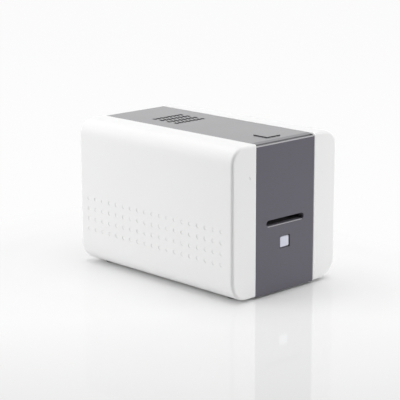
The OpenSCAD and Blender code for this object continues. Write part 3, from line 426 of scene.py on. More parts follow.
FINISH = {
    white_shell: ["left_cover", "right_cover"],
    dark_face: ["front_panel", "rear_panel"],
    dark_lid: ["lid"],
    button_with_painted_shade: ["release_button"],
    tray_grey: ["base_tray"],
    foot_rubber: ["rubber_feet"],
    screw_zinc: ["cover_screws", "chassis_screws"],
    pin_bright: ["hinge_pin", "release_spring", "frame_studs", "platen_shaft",
                 "head_springs"],
    lens_white: ["front_button"],
    sheet_zinc: ["latch_bar", "left_plate", "right_plate", "cross_bars",
                 "pinch_bridges", "ribbon_bracket", "head_bracket"],
    guide_black: ["card_bed", "card_hopper", "card_weight"],
    roller_black: ["platen_sleeve", "exit_tyres", "transport_tyres", "pick_tyres",
                   "exit_pinch"],
    cleaner_blue: ["cleaning_roller"],
    acetal: ["platen_gear", "exit_core", "transport_core", "pick_core", "roller_bushes",
             "idler_a", "idler_b", "idler_c", "takeup_drive"],
    motor_black: ["feed_motor"],
    brass: ["feed_pinion", "ribbon_pinion"],
    cassette_blue: ["cassette_frame"],
    spool_white: ["supply_spool", "takeup_spool"],
    ribbon_dark: ["supply_roll", "takeup_roll", "ribbon_film"],
    motor_can: ["ribbon_motor"],
    aluminium: ["print_head"],
    ceramic_white: ["head_strip"],
    fan_black: ["fan_frame", "fan_rotor"],
    board_green: ["main_board", "button_board"],
    chip_black: ["board_parts"],
    port_tin: ["rear_ports"],
    switch_black: ["power_rocker"],
}
for mat, names in FINISH.items():
    for name in names:
        for slot in nodes[name].material_slots:
            slot.material = mat


# ---- mesh helpers ----

LEAST_R = 0.02  # a pole is a ring as small as this
LEAST_CORNER = 0.05
SHARP_EDGE = np.radians(32.0)

# turns that lay the z axis along another one
TO_X = [[0, 0, 1], [1, 0, 0], [0, 1, 0]]
TO_MINUS_X = [[0, 0, -1], [-1, 0, 0], [0, 1, 0]]
TO_Y = [[1, 0, 0], [0, 0, 1], [0, -1, 0]]
TO_MINUS_Y = [[1, 0, 0], [0, 0, -1], [0, 1, 0]]
TO_MINUS_Z = [[1, 0, 0], [0, -1, 0], [0, 0, -1]]


def grid_faces(rows, cols, round_rows=False):
    """Quads between the points of a grid that is stored row by row, closed from its
    last column to its first and, on request, from its last row to its first."""
    r, c = np.meshgrid(np.arange(rows if round_rows else rows - 1), np.arange(cols),
                       indexing="ij")
    across, above = (c + 1) % cols, (r + 1) % rows
    quads = [r * cols + c, r * cols + across, above * cols + across, above * cols + c]
    return np.stack(quads, -1).reshape(-1, 4).tolist()


def loft(rings):
    """A closed skin through rings of equal length, which run anticlockwise seen from
    the last ring; flat faces close both ends."""
    rings = np.asarray(rings, float)
    count, sides = rings.shape[:2]
    faces = grid_faces(count, sides)
    faces.append(list(range(sides))[::-1])
    faces.append([(count - 1) * sides + k for k in range(sides)])
    return rings.reshape(-1, 3), faces


def joined(parts):
    """Several (points, faces) skins as one."""
    points, faces, start = [], [], 0
    for some, flat in parts:
        points.append(some)
        faces += [[k + start for k in face] for face in flat]
        start += len(some)
    return np.concatenate(points), faces


def moved(part, shift=(0.0, 0.0, 0.0), turn=None):
    """A skin turned by a 3 by 3 matrix and then shifted."""
    points, faces = part
    if turn is not None:
        points = points @ np.asarray(turn, float).T
    return points + np.asarray(shift, float), faces


def unit(vectors):
    """Vectors, or one vector, brought to length 1."""
    return vectors / np.linalg.norm(vectors, axis=-1, keepdims=True)


def lifted(flat, height):
    """A flat outline as a level ring; the height is one number or one for each point."""
    return np.column_stack([flat, np.broadcast_to(height, len(flat))])


def polar(radius, angle):
    """Points in a plane from their radius and angle: (r cos a, r sin a)."""
    return np.stack([radius * np.cos(angle), radius * np.sin(angle)], -1)


def round_angles(sides):
    """Equal steps once round."""
    return np.linspace(0.0, 2.0 * np.pi, sides, endpoint=False)


def circle(radius, height, sides):
    """A level circle, anticlockwise."""
    return lifted(polar(radius, round_angles(sides)), height)


def revolve(profile, sides):
    """Turned shape about z from (radius, height) pairs, from the bottom up the outside:
    p(i, a) = (r_i cos a, r_i sin a, z_i)."""
    return loft([circle(max(r, LEAST_R), z, sides) for r, z in profile])


def tube(path, radius, sides):
    """Round wire: p(s, a) = path(s) + r (cos a n(s) + sin a b(s)), where n is carried
    along the path without twist and b = t x n."""
    aslant = (0.31, 0.17, 0.94)  # no wire here starts in this direction
    path = np.asarray(path, float)
    ahead = unit(np.gradient(path, axis=0))
    normals = [unit(np.cross(ahead[0], aslant))]
    for t in ahead[1:]:
        normals.append(unit(normals[-1] - t * (normals[-1] @ t)))
    normals = np.array(normals)
    sideways = np.cross(ahead, normals)
    a = round_angles(sides)[None, :, None]
    return loft(path[:, None] + radius * (np.cos(a) * normals[:, None]
                                          + np.sin(a) * sideways[:, None]))


def outline(width, depth, corner, steps=6):
    """Rounded rectangle, anticlockwise, with a quarter circle at each corner."""
    points = []
    for k, (sx, sy) in enumerate([(1, 1), (-1, 1), (-1, -1), (1, -1)]):
        a = np.radians(90.0 * k + np.linspace(0.0, 90.0, steps))
        middle = (sx * (width / 2 - corner), sy * (depth / 2 - corner))
        points.append(middle + polar(corner, a))
    return np.concatenate(points)


def slab(width, depth, levels, corner, steps=6):
    """Stacked rounded rectangles; each level is (inset, height)."""
    return loft([lifted(outline(width - 2 * inset, depth - 2 * inset,
                                max(corner - inset, LEAST_CORNER), steps), height)
                 for inset, height in levels])


def brick(low, high, bevel=0.2):
    """Block with bevelled edges between two corners."""
    low, high = np.asarray(low, float), np.asarray(high, float)
    wide, deep, tall = high - low
    levels = [(bevel, 0.0), (0.0, bevel), (0.0, tall - bevel), (bevel, tall)]
    body = slab(wide, deep, levels, 1.5 * bevel, steps=3)
    return moved(body, ((low[0] + high[0]) / 2, (low[1] + high[1]) / 2, low[2]))


def helix(radius, height, turns, wire):
    """Compression spring of n turns on z = 0 with nearly closed ends:
    p(t) = (R cos 2 pi n t, R sin 2 pi n t, w + (h - 2 w) e(t)), where e rises by a small
    share evenly and by the rest between the first and the last three quarters of a turn."""
    per_turn, closed, even, sides = 28, 0.75, 0.16, 9
    t = np.linspace(0.0, 1.0, int(turns * per_turn))
    start = closed / turns
    steep = np.clip((t - start) / (1.0 - 2.0 * start), 0.0, 1.0)
    rise = (1.0 - even) * steep + even * t
    path = lifted(polar(radius, 2.0 * np.pi * turns * t), wire + (height - 2.0 * wire) * rise)
    return tube(path, wire, sides)


def mesh_object(name, points, faces):
    """An object from points in metres, in the scene."""
    mesh = bpy.data.meshes.new(name)
    mesh.from_pydata(points.tolist(), [], faces)
    obj = bpy.data.objects.new(name, mesh)
    bpy.context.scene.collection.objects.link(obj)
    return obj


def piece(name, part, mat, body, slot, *stands_for):
    """A mesh object from a skin in mm, which rides on a body and stands for CAD nodes."""
    points, faces = part
    obj = mesh_object(name, points * MM, faces)
    obj.data.polygons.foreach_set("use_smooth", np.ones(len(faces), dtype=bool))
    obj.data.set_sharp_from_angle(angle=SHARP_EDGE)
    obj.data.update()
    obj.data.materials.append(mat)
    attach(obj, body)
    if stands_for:
        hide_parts(*stands_for)
    return obj


# ---- springs ----

def release_coil():
    """Spring under the release button, which rides on the button's body."""
    low, high = corners("release_spring")
    wire, turns = 0.24, 3.0
    tall = high[2] - low[2]
    mid = (low + high) / 2
    coil = helix((high[0] - low[0]) / 2 - wire, tall, turns, wire)
    obj = piece("release_coil", moved(coil, (mid[0], mid[1], low[2])), spring_wire, "release",
                "pin_steel", "release_spring")
    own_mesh(obj)


def head_coils():
    """Two springs that press the head down, one on each post."""
    low, high = corners("head_springs")
    wire, turns, gap, solid_wall = 0.35, 4.5, 1.2, 2.0
    tall = high[2] - low[2]
    post_x = high[0] - HEAD_POST_R - solid_wall
    coil = helix(HEAD_POST_R + gap + wire, tall, turns, wire)
    coils = [moved(coil, (side * post_x, HEAD_Y, low[2])) for side in (-1, 1)]
    obj = piece("head_coils", joined(coils), spring_wire, "head", "pin_steel", "head_springs")
    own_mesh(obj)


release_coil()
head_coils()


# ---- front key ----

def front_key():
    """Key of the front panel: a face that falls by crown s^2 from its middle to its
    edge, a rolled edge, a retaining flange and a ribbed plunger. It is built with its
    face up at z = 0."""
    low, high = corners("front_button")
    wide, tall, corner, middle_corner, crown, roll = 13.7, 11.8, 1.3, 0.8, 0.25, 0.5
    flange, flange_t, flange_wider, flange_taller, flange_corner = -2.7, 1.2, 3.9, 3.8, 1.5
    edge = 0.15
    stem, stem_corner, stem_edge = 4.0, 1.9, 0.3
    rib, rib_t, rib_edge, rib_from_back = 7.0, 0.8, 0.1, 0.6
    sunk = flange - flange_t + 0.1
    back = low[1] - high[1]
    rings = []
    for s in np.linspace(0.06, 1.0, 9):
        flat = outline((wide - 2 * roll) * s, (tall - 2 * roll) * s, middle_corner * s)
        rings.append(lifted(flat, -crown * s ** 2))
    for turn in np.radians([20.0, 45.0, 70.0, 90.0]):
        inset = roll * (1.0 - np.sin(turn))
        flat = outline(wide - 2 * inset, tall - 2 * inset, corner - inset)
        rings.append(lifted(flat, -crown - roll * (1.0 - np.cos(turn))))
    rings.append(lifted(outline(wide, tall, corner), flange))
    parts = [loft(rings[::-1]),
             slab(wide + flange_wider, tall + flange_taller,
                  [(edge, flange - flange_t), (0, flange - flange_t + edge),
                   (0, flange - edge), (edge, flange)], flange_corner),
             slab(stem, stem, [(stem_edge, back), (0, back + stem_edge), (0, sunk)],
                  stem_corner)]
    start = back + rib_from_back
    for across, up in ((rib, rib_t), (rib_t, rib)):
        levels = [(rib_edge, start), (0, start + rib_edge), (0, sunk)]
        parts.append(slab(across, up, levels, 2 * rib_edge))
    whole = moved(joined(parts), (0, low[1], (low[2] + high[2]) / 2), TO_MINUS_Y)
    piece("key_lens", whole, lens_white, "front_key", "lens", "front_button")


front_key()


# ---- seam strips ----

def seam_strips():
    """Strips inside the open edge of each cover that close the view past the lid's
    ends: a rounded section swept along the cover's inner front and top,
    p(s, a) = path(s) + v(a) inward(s) + u(a) x."""
    low, high = corners("right_cover")
    slack, bend, wide, thick, corner = 0.1, 2.2, 2.6, 1.8, 0.6
    front, top = low[1] + COVER_WALL + slack, high[2] - COVER_WALL - slack
    rear = CROSS_BARS[1][0]
    turn = np.radians(np.linspace(180.0, 90.0, 9))
    bow = polar(bend, turn) + (front + bend, top - bend)
    path = np.concatenate([[(front, CARD_Z)], bow, [(rear, top)]])
    inward = np.concatenate([[(1.0, 0.0)], -polar(1.0, turn), [(0.0, -1.0)]])
    section = outline(wide, thick, corner) + (low[0] + slack + wide / 2, thick / 2)
    rings = [[(u, *(place + v * away)) for u, v in section]
             for place, away in zip(path, inward)]
    points, faces = loft(rings)
    other = points * (-1.0, 1.0, 1.0), [face[::-1] for face in faces]
    piece("seam_strips", joined([(points, faces), other]), white_shell, "chassis",
          "shell_white")


seam_strips()


# ---- screws ----

def screw(length):
    """Pan-head screw, head up at z = 0, on rings of radius r(a). The thread is
    r = r0 + h |2 frac(z / pitch - a / 2 pi) - 1| and narrows to its tip. The head is a
    dome z = rim + (t - rim) sqrt(1 - s^2), sunk by a share that goes from 0 to 1 as a
    point comes inside the two arms of a cross."""
    sides, per_pitch, head_rings = 36, 6, 18
    pitch, thread, tip, blunt = 0.9, 0.22, 1.2, 0.25
    rim, rim_bevel, rim_under = 0.35, 0.12, 0.1
    arm, arm_slope, reach, reach_slope, deep = 0.42, 0.12, 1.7, 0.25, 0.9
    a = round_angles(sides)
    rings = []
    for z in np.linspace(-length, 0.0, int(length / pitch * per_pitch)):
        wave = np.abs(2.0 * ((z / pitch - a / (2.0 * np.pi)) % 1.0) - 1.0)
        share = np.clip((z + length) / tip, blunt, 1.0)
        rings.append(lifted(polar(share * (SCREW_R - thread + thread * wave), a), z))
    rings.append(circle(SCREW_R, 0.0, sides))
    rings.append(circle(SCREW_HEAD_R - rim_under, 0.0, sides))
    rings.append(circle(SCREW_HEAD_R, rim_bevel, sides))
    for s in np.linspace(1.0, 0.03, head_rings):
        flat = polar(SCREW_HEAD_R * s, a)
        dome = rim + (SCREW_HEAD_T - rim) * np.sqrt(1.0 - s ** 2)
        near, far = np.abs(flat).min(axis=1), np.abs(flat).max(axis=1)
        inside = (np.clip((arm - near) / arm_slope, 0, 1)
                  * np.clip((reach - far) / reach_slope, 0, 1))
        rings.append(lifted(flat, dome - deep * inside))
    return loft(rings)


def cover_fixings():
    """Four screws up through the covers' undersides."""
    low, high = corners("cover_screws")
    x, y = high[0] - SCREW_HEAD_R, high[1] - SCREW_HEAD_R
    seat = low[2] + SCREW_HEAD_T
    one = screw(high[2] - seat)
    parts = [moved(one, (sx * x, sy * y, seat), TO_MINUS_Z)
             for sx in (-1, 1) for sy in (-1, 1)]
    piece("cover_fixings", joined(parts), screw_zinc, "chassis", "screw_steel", "cover_screws")


def chassis_fixings():
    """Screws through the side plates into the cross bars, and down into the tray."""
    long, short = screw(9.0), screw(2.1)
    parts = []
    for y, z in CROSS_BARS:
        parts.append(moved(long, (PLATE_OUT, y, z), TO_X))
        parts.append(moved(long, (-PLATE_OUT, y, z), TO_MINUS_X))
    for sx in (-1, 1):
        for sy in (-1, 1):
            parts.append(moved(short, (sx * FLANGE_X, sy * FLANGE_Y, TRAY_FLOOR + PLATE_T)))
    piece("chassis_fixings", joined(parts), screw_zinc, "chassis", "screw_steel",
          "chassis_screws")


cover_fixings()
chassis_fixings()


# ---- ribbon ----

FILM_OFF = 0.12  # from a roll or a guide to the middle of the film
FILM_T = 0.12


def winding(centre_y, outer):
    """Wound film about the x axis. The edge of the layer at the share s of the wall
    stands out by 0.16 sin(91.7 s + 1.3) sin(37 s), which looks uneven."""
    count, sides, sunk, bevel = 26, 72, 0.25, 0.4
    layers = np.arange(count) / count
    radii = CORE_R + (outer - CORE_R) * layers
    uneven = 0.16 * np.sin(91.7 * layers + 1.3) * np.sin(37.0 * layers)
    left = [(r, sunk - ROLL_HALF + u) for r, u in zip(radii, uneven)]
    right = [(r, ROLL_HALF - sunk + u) for r, u in zip(radii[::-1], uneven[::-1])]
    profile = left + [(outer, bevel - ROLL_HALF), (outer, ROLL_HALF - bevel)] + right
    rings = [circle(r, x, sides) for r, x in profile]
    skin = np.concatenate(rings), grid_faces(len(rings), sides, round_rows=True)
    return moved(skin, (0, centre_y, SPOOL_Z), TO_X)


def tangent(c0, r0, c1, r1):
    """Points where a line touches two circles on the same side, given as (y, z): the
    radii to them make the angle arccos((r0 - r1) / d) with the line of centres."""
    c0, c1 = np.asarray(c0, float), np.asarray(c1, float)
    gap = c1 - c0
    turn = np.arctan2(gap[1], gap[0]) - np.arccos((r0 - r1) / np.linalg.norm(gap))
    normal = polar(1.0, turn)
    return c0 + r0 * normal, c1 + r1 * normal


def round_guide(centre, start, end):
    """The film's arc round a guide, between the directions of two points."""
    a, b = (np.arctan2(at[1] - centre[1], at[0] - centre[0]) for at in (start, end))
    return centre + polar(GUIDE_R + FILM_OFF, np.linspace(a, b, 6))


def film_path():
    """Side view of the film, as (y, z), from the take-up roll, under both guides and
    the head, to the supply roll. Under the head it is level, and then rises by
    h min(d / d0, 1)^2 with the distance d past the level stretch."""
    level_half, slope, climb, over_card = 5.0, 6.0, 2.4, 0.65
    leave_y, leave_z = 0.9, 0.2
    front, rear = (HEAD_Y - GUIDE_SPAN, GUIDE_Z), (HEAD_Y + GUIDE_SPAN, GUIDE_Z)
    guide = GUIDE_R + FILM_OFF
    a0, a1 = tangent((TAKEUP_Y, SPOOL_Z), TAKEUP_R + FILM_OFF, front, guide)
    b0, b1 = tangent(rear, guide, (SUPPLY_Y, SPOOL_Z), SUPPLY_R + FILM_OFF)
    along = np.linspace(-level_half - slope, level_half + slope, 17)
    past = np.clip(np.abs(along) - level_half, 0.0, slope) / slope
    under = np.stack([HEAD_Y + along, CARD_Z + over_card + climb * past ** 2], -1)
    low_front = (front[0] + leave_y, front[1] - guide + leave_z)
    low_rear = (rear[0] - leave_y, rear[1] - guide + leave_z)
    return np.concatenate([np.linspace(a0, a1, 12)[:-1], round_guide(front, a1, low_front),
                           under, round_guide(rear, low_rear, b0),
                           np.linspace(b0, b1, 12)[1:]])


def film(mat):
    """The film as a thin closed band along its path, with the length run off on it
    as u in metres and the place across it as v."""
    path = film_path()
    steps = np.linalg.norm(np.diff(path, axis=0), axis=1)
    run = np.concatenate([[0.0], np.cumsum(steps)]) * MM
    ahead = unit(np.gradient(path, axis=0))
    side = np.stack([-ahead[:, 1], ahead[:, 0]], -1) * FILM_T / 2
    rings = [[(-FILM_HALF, *up), (FILM_HALF, *up), (FILM_HALF, *down), (-FILM_HALF, *down)]
             for up, down in zip(path + side, path - side)]
    obj = piece("film", loft(rings), mat, "chassis", "ribbon", "ribbon_film")
    mesh = obj.data
    corner = np.empty(len(mesh.loops), dtype=np.int32)
    mesh.loops.foreach_get("vertex_index", corner)
    across = np.array([0.0, 1.0, 1.0, 0.0])[corner % 4]
    layer = mesh.uv_layers.new(name="run")
    layer.uv.foreach_set("vector", np.stack([run[corner // 4], across], -1).ravel())


def panel_material():
    """Dye panels along the film: the run in metres over the length of a set picks
    yellow, magenta, cyan or black, with a clear gap between them."""
    dyes, clear = [(206, 178, 34), (166, 32, 96), (24, 110, 160), (26, 24, 28)], (70, 66, 70)
    set_length, gap = 0.22, 0.01
    mat = plastic("ribbon_film", clear, gloss=0.16, grain=0.15, scale=700.0, drift=0.06,
                  bump=0.06, Specular_IOR_Level=0.7)
    tree = mat.node_tree
    place = node(tree, "ShaderNodeUVMap", uv_map="run").outputs[0]
    split = node(tree, "ShaderNodeSeparateXYZ", {0: place})
    share = math(tree, "FRACT", math(tree, "DIVIDE", split.outputs["X"], set_length))
    stops = [(0.0, linear(*dyes[0]))]
    for k, dye in enumerate(dyes[1:], 1):
        start = k / len(dyes)
        stops += [(start - gap, linear(*clear)), (start, linear(*dye))]
    tint = tree.nodes["Principled BSDF"].inputs["Base Color"].links[0].from_node
    feed(tree, tint, {0: ramp(tree, share, stops, "CONSTANT")})
    return mat


film(panel_material())
piece("supply_winding", winding(SUPPLY_Y, SUPPLY_R), ribbon_dark, "supply", "ribbon",
      "supply_roll")
piece("takeup_winding", winding(TAKEUP_Y, TAKEUP_R), ribbon_dark, "takeup", "ribbon",
      "takeup_roll")


# ---- fan ----

def fan_blade():
    """Twisted blade, where s goes from 0 at its root in the hub to 1 at its tip. The
    section is y(u) = camber u (1 - u) +- h(s) sqrt(u (1 - u)) over the chord
    (u - 1/2) c(s), leans by b(s), and is bent round the axis at the radius r(s):
    p = (r cos a, r sin a, z) with a = x / r + sweep s^2."""
    camber, sweep, root = 1.8, 0.25, FAN_HUB_R - 0.4
    u = (1.0 - np.cos(np.pi * np.linspace(0.0, 1.0, 12))) / 2.0
    bow, bulge = camber * u * (1.0 - u), np.sqrt(u * (1.0 - u))
    rings = []
    for s in np.linspace(0.0, 1.0, 9):
        r, half, chord = root + (FAN_TIP_R - root) * s, 0.75 - 0.25 * s, 6.2 + 2.6 * s
        lean = np.radians(52.0 - 22.0 * s)
        along = chord * (np.concatenate([u, u[-2:0:-1]]) - 0.5)
        thick = np.concatenate([bow - half * bulge, (bow + half * bulge)[-2:0:-1]])
        x = along * np.cos(lean) - thick * np.sin(lean)
        z = along * np.sin(lean) + thick * np.cos(lean)
        rings.append(lifted(polar(r, x / r + sweep * s ** 2), z))
    return loft(rings)


def fan():
    """Seven blades on a hub with a rolled edge and a sunk middle, which turns about z."""
    low, high = corners("fan_rotor")
    blades, sides = 7, 48
    tall, hub = high[2] - low[2], FAN_HUB_R
    dish, dish_deep = 4.8, 0.25
    profile = [(1.6, 0.0), (hub - 0.3, 0.0), (hub, 0.3), (hub, tall - 1.0),
               (hub - 0.35, tall - 0.35), (hub - 1.0, tall - 0.05), (dish + 0.2, tall),
               (dish, tall - dish_deep), (2.0, tall - dish_deep), (LEAST_R, tall - 0.2)]
    parts = [revolve(profile, sides)]
    for a in round_angles(blades):
        turn = [[np.cos(a), -np.sin(a), 0], [np.sin(a), np.cos(a), 0], [0, 0, 1]]
        parts.append(moved(fan_blade(), (0, 0, tall / 2), turn))
    piece("fan_wheel", moved(joined(parts), (0, FAN_Y, low[2])), fan_black, "fan",
          "fan_plastic", "fan_rotor")


fan()


# ---- main board and ports ----
# heights here are over the top of the board

# x and y of two corners, height, leads on a side, leads on four sides instead of two
CHIPS = [(-24, -45, -10, -31, 2.0, 14, True), (4, -48, 20, -28, 2.6, 18, False),
         (-26, -10, -4, 12, 1.8, 22, True)]
# x, y, radius, height
CAPACITORS = [(-22 + 13 * k, 48, 4.0, 12.0) for k in range(4)]
# x, y and z of two corners, bevel
COIL = (10, -8, 0, 18, 8, 10, 0.8)
# x and y of two corners, height, pins
SOCKETS = [(-28, 70, -6, 82, 3.0, 10), (6, 66, 28, 76, 8.0, 9)]


def on_board(x0, y0, z0, x1, y1, z1, bevel):
    """A block that stands on the board or over it."""
    return brick((x0, y0, BOARD_TOP + z0), (x1, y1, BOARD_TOP + z1), bevel)


def between(start, end, count):
    """Equally spaced places between two ends, without the ends."""
    return np.linspace(start, end, count + 2)[1:-1]


def chip(x0, y0, x1, y1, tall, count, on_four):
    """Chip package, and its gull-wing leads on the left and right or on four sides."""
    stand, foot, wire, bevel = 0.25, 0.2, 0.16, 0.25
    rise = BOARD_TOP + stand + 0.4 * tall
    sole = BOARD_TOP + foot
    profile = [(-0.1, rise), (0.6, rise), (0.8, sole), (1.5, sole)]
    leads = []
    for edge, out in ((x0, -1), (x1, 1)):
        leads += [tube([(edge + off * out, y, z) for off, z in profile], wire, 4)
                  for y in between(y0, y1, count)]
    if on_four:
        for edge, out in ((y0, -1), (y1, 1)):
            leads += [tube([(x, edge + off * out, z) for off, z in profile], wire, 4)
                      for x in between(x0, x1, count)]
    return on_board(x0, y0, stand, x1, y1, tall, bevel), leads


def capacitor(x, y, radius, tall):
    """Can capacitor with a rolled foot, a groove and a sunk top."""
    profile = [(radius - 0.5, 0.0), (radius, 0.3), (radius, 1.4), (radius - 0.35, 1.8),
               (radius, 2.2), (radius, tall - 0.5), (radius - 0.2, tall - 0.1),
               (radius - 0.6, tall), (radius - 0.9, tall - 0.2), (0.3, tall - 0.2)]
    return moved(revolve(profile, 36), (x, y, BOARD_TOP))


def pin_socket(x0, y0, x1, y1, tall, count):
    """Open socket: four walls with a bottom, and a row of pins in it."""
    wall, lap, bottom, pin, short = 1.2, 1.0, 1.0, 0.3, 0.4
    walls = [on_board(x0, y0, 0, x1, y0 + wall, tall, 0.2),
             on_board(x0, y1 - wall, 0, x1, y1, tall, 0.2),
             on_board(x0, y0 + wall, 0, x0 + wall, y1 - wall, tall, 0.2),
             on_board(x1 - wall, y0 + wall, 0, x1, y1 - wall, tall, 0.2),
             on_board(x0 + lap, y0 + lap, 0, x1 - lap, y1 - lap, bottom, 0.1)]
    y = (y0 + y1) / 2
    pins = [on_board(x - pin, y - pin, bottom, x + pin, y + pin, tall - short, 0.08)
            for x in between(x0, x1, count)]
    return walls, pins


def small_parts():
    """Resistors and the like, spread over the board by two irrational steps."""
    count, thick = 46, 0.55
    left, width, step_x = -30.0, 60.0, 0.6180339887
    front, depth, step_y = -54.0, 148.0, 0.7548776662
    parts = []
    for k in range(count):
        x, y = left + width * ((k * step_x) % 1.0), front + depth * ((k * step_y) % 1.0)
        wide, deep = (1.6, 0.8) if k % 2 else (0.8, 1.6)
        parts.append(on_board(x, y, 0, x + wide, y + deep, thick, 0.08))
    return parts


def board_details():
    """Chips, capacitors, a coil, sockets with pins and small parts on the main board."""
    dark, bright, pale = [], [], []
    for size in CHIPS:
        body, leads = chip(*size)
        dark.append(body)
        bright += leads
    cans = [capacitor(*size) for size in CAPACITORS]
    dark.append(on_board(*COIL))
    for size in SOCKETS:
        walls, pins = pin_socket(*size)
        pale += walls
        bright += pins
    for k, part in enumerate(small_parts()):
        (dark if k % 3 else pale).append(part)
    piece("board_chips", joined(dark), chip_black, "chassis", "chips", "board_parts")
    piece("board_pins", joined(bright), port_tin, "chassis", "port_metal")
    piece("board_cans", joined(cans), motor_can, "chassis", "port_metal")
    piece("board_sockets", joined(pale), acetal, "chassis", "gear_plastic")


def port_insides():
    """Tongues and contacts inside the three rear ports: a narrow one with four flat
    contacts, a wide one with eight bent wires, and a round one with a pin."""
    mouth = corners("rear_ports")[1][1]
    deep = mouth - 13.0
    round_x, round_z = 9.0, BOARD_TOP + 5.5
    barrel = revolve([(0.4, 0.0), (2.9, 0.0), (2.9, 5.0), (2.5, 5.4), (1.4, 5.4)], 32)
    pin = revolve([(0.9, 0.0), (0.9, 9.0), (0.6, 9.6), (0.1, 9.8)], 24)
    dark = [on_board(-29.2, deep, 3.4, -22.8, mouth - 1.5, 5.6, 0.3),
            on_board(-14.7, deep, 9.6, -1.3, mouth - 4.0, 12.0, 0.3),
            moved(barrel, (round_x, deep, round_z), TO_Y)]
    flat_half, wire = 0.4, 0.22
    gold = [on_board(x - flat_half, deep + 1, 3.2, x + flat_half, mouth - 2, 3.5, 0.05)
            for x in np.linspace(-28.2, -23.8, 4)]
    bent = [(mouth - 4.2, 9.4), (mouth - 6.0, 8.2), (deep + 1.5, 5.0), (deep + 0.2, 4.6)]
    gold += [tube([(x, y, BOARD_TOP + z) for y, z in bent], wire, 6)
             for x in np.linspace(-12.5, -3.5, 8)]
    gold.append(moved(pin, (round_x, deep, round_z), TO_Y))
    piece("port_tongues", joined(dark), switch_black, "chassis", "switch_black")
    piece("port_contacts", joined(gold), contact_gold, "chassis", "brass")


board_details()
port_insides()


# ---- setting: camera, floor, light; in metres ----

WHITE = (1.0, 1.0, 1.0, 1.0)
BACKDROP = 0.985  # just under the white that clips

# as fitted to the photograph, in degrees, metres and, for lens and sensor, mm
CAMERA_AZIMUTH, CAMERA_ELEVATION, CAMERA_ROLL = -43.905, 13.457, -0.174
CAMERA_PLACE = (-1.1442, -1.1796, 0.4741)
LENS, SENSOR, CAMERA_REACH = 133.95, 36.0, 50.0

FLOOR_HALF = 6.0
# rectangle under the part, by its middle and half size, where the white glow of the
# floor is nearly off, and the distances from it between which the glow comes on
SHADE_MIDDLE, SHADE_HALF = (0.0, -0.008, 0.0), (0.064, 0.112, 0.0)
SHADE_START, SHADE_END = -0.003, 0.016
# rectangle that the glow grows from, how far that goes, and its amounts on the way
GLOW_MIDDLE, GLOW_HALF, GLOW_REACH = (-0.0365, 0.0, 0.0), (0.0315, 0.12, 0.0), 0.25
GLOW = [(0.0, 0.27), (0.08, 0.38), (0.2, 0.42), (0.4, 0.5), (0.7, 0.74), (1.0, 0.95)]
# the way to the camera on the floor, the stretch of it on which the glow falls from the
# backdrop's strength, and the strength that it falls to
FORWARD = (-0.693, -0.721, 0.0)
DUSK_START, DUSK_END, DUSK = 0.18, 0.42, 0.84


def camera_matrix(azimuth, elevation, roll, place):
    """Turn and place of a camera that looks down its own -Z axis."""
    a, e, t = np.radians([azimuth, elevation, roll])
    ahead = np.array([-np.sin(a) * np.cos(e), np.cos(a) * np.cos(e), -np.sin(e)])
    right = unit(np.cross(ahead, [0.0, 0.0, 1.0]))
    up = np.cross(right, ahead)
    right, up = np.cos(t) * right + np.sin(t) * up, np.cos(t) * up - np.sin(t) * right
    grid = np.eye(4)
    grid[:3] = np.column_stack([right, up, -ahead, place])
    return Matrix(grid.tolist())


def set_camera():
    """The photograph's camera."""
    lens = bpy.data.cameras.new("camera")
    lens.lens, lens.sensor_width, lens.clip_end = LENS, SENSOR, CAMERA_REACH
    camera = bpy.data.objects.new("camera", lens)
    camera.matrix_world = camera_matrix(CAMERA_AZIMUTH, CAMERA_ELEVATION, CAMERA_ROLL,
                                        CAMERA_PLACE)
    bpy.context.scene.collection.objects.link(camera)
    bpy.context.scene.camera = camera


def floor_sheet(half):
    """A square floor, two by two faces, on z = 0."""
    x = np.linspace(-half, half, 3)
    points = lifted(np.stack(np.meshgrid(x, x), -1).reshape(-1, 2), 0.0)
    return mesh_object("floor", points, [(0, 1, 4, 3), (1, 2, 5, 4), (3, 4, 7, 6), (4, 5, 8, 7)])


def box_distance(tree, place, middle, half):
    """Distance outside a rectangle on the floor: d = |max(|p - m| - h, 0)|."""
    off = vector_math(tree, "ABSOLUTE", vector_math(tree, "SUBTRACT", place, middle))
    past = vector_math(tree, "SUBTRACT", off, half)
    past = vector_math(tree, "MAXIMUM", past, (0.0, 0.0, 0.0))
    return vector_math(tree, "LENGTH", past, output="Value")


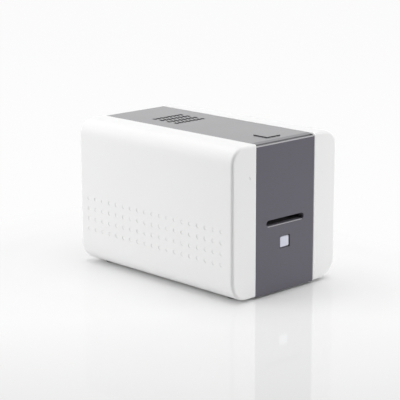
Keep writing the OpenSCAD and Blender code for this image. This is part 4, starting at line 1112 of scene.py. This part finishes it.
def floor_material():
    """Pale glossy sheet that keeps the contact shadow and a faint mirror image. A glow
    turns it white with the distance from the footprint, sooner on the right, and a
    little darker again towards the camera. The part itself gets half of that glow."""
    glow_on_part, coat_roughness, coat_index = 0.5, 0.04, 1.24
    mat = bpy.data.materials.new("pale_floor")
    mat.use_nodes = True
    tree = mat.node_tree
    sheet = tree.nodes["Principled BSDF"]
    feed(tree, sheet, {"Base Color": linear(232, 232, 232), "Roughness": 0.6,
                       "Specular IOR Level": 0.0})
    place = object_place(tree)
    near = map_range(tree, box_distance(tree, place, SHADE_MIDDLE, SHADE_HALF), SHADE_START,
                     SHADE_END, kind="SMOOTHSTEP")
    far = math(tree, "DIVIDE", box_distance(tree, place, GLOW_MIDDLE, GLOW_HALF), GLOW_REACH)
    growth = ramp(tree, far, [(at, (tone, tone, tone, 1.0)) for at, tone in GLOW], "EASE")
    scattered = node(tree, "ShaderNodeLightPath").outputs["Is Diffuse Ray"]
    scattered = math(tree, "MULTIPLY", scattered, glow_on_part)
    seen = math(tree, "MAXIMUM", sees_backdrop(tree), scattered)
    amount = math(tree, "MULTIPLY", math(tree, "MULTIPLY", near, growth), seen)
    forward = vector_math(tree, "DOT_PRODUCT", place, FORWARD, output="Value")
    strength = map_range(tree, forward, DUSK_START, DUSK_END, BACKDROP, DUSK)
    glow = node(tree, "ShaderNodeEmission", {"Color": WHITE, "Strength": strength})
    matt = mix_shaders(tree, amount, sheet.outputs[0], glow.outputs[0])
    mirror = node(tree, "ShaderNodeBsdfGlossy", {"Color": WHITE, "Roughness": coat_roughness})
    slant = node(tree, "ShaderNodeFresnel", {"IOR": coat_index})
    coated = mix_shaders(tree, slant.outputs[0], matt, mirror.outputs[0])
    feed(tree, tree.nodes["Material Output"], {"Surface": coated})
    return mat


def studio_world():
    """Dim even light all round, behind a white backdrop."""
    world = bpy.data.worlds.new("studio")
    bpy.context.scene.world = world
    world.use_nodes = True
    air = world.node_tree
    air.nodes.clear()
    sky = node(air, "ShaderNodeBackground",
               {"Color": (1.0, 0.995, 0.99, 1.0), "Strength": 0.08})
    white = node(air, "ShaderNodeBackground", {"Color": WHITE, "Strength": BACKDROP})
    both = mix_shaders(air, sees_backdrop(air), sky.outputs[0], white.outputs[0])
    node(air, "ShaderNodeOutputWorld", {"Surface": both})


def lamp(name, place, size, power, mirrored=True):
    """A large soft lamp turned towards the part; one that isn't mirrored lights it
    without a glare on the lid."""
    aim = Vector((0.0, 0.0, 0.08))
    data = bpy.data.lights.new(name, "AREA")
    data.shape = "RECTANGLE"
    data.size, data.size_y = size
    data.energy = power
    obj = bpy.data.objects.new(name, data)
    obj.location = place
    obj.rotation_euler = (aim - Vector(place)).to_track_quat("-Z", "Y").to_euler()
    obj.visible_glossy = mirrored
    bpy.context.scene.collection.objects.link(obj)


set_camera()
floor = floor_sheet(FLOOR_HALF)
floor.data.materials.append(floor_material())
studio_world()
lamp("left_rear", (-1.6, 1.3, 0.65), (1.6, 1.2), 29.7, mirrored=False)
lamp("right_front", (1.75, -1.6, 0.32), (1.4, 0.9), 45.5, mirrored=False)
lamp("top", (0.1, 0.1, 2.2), (1.8, 1.8), 44.0)

scene = bpy.context.scene
scene.view_settings.view_transform = "Standard"
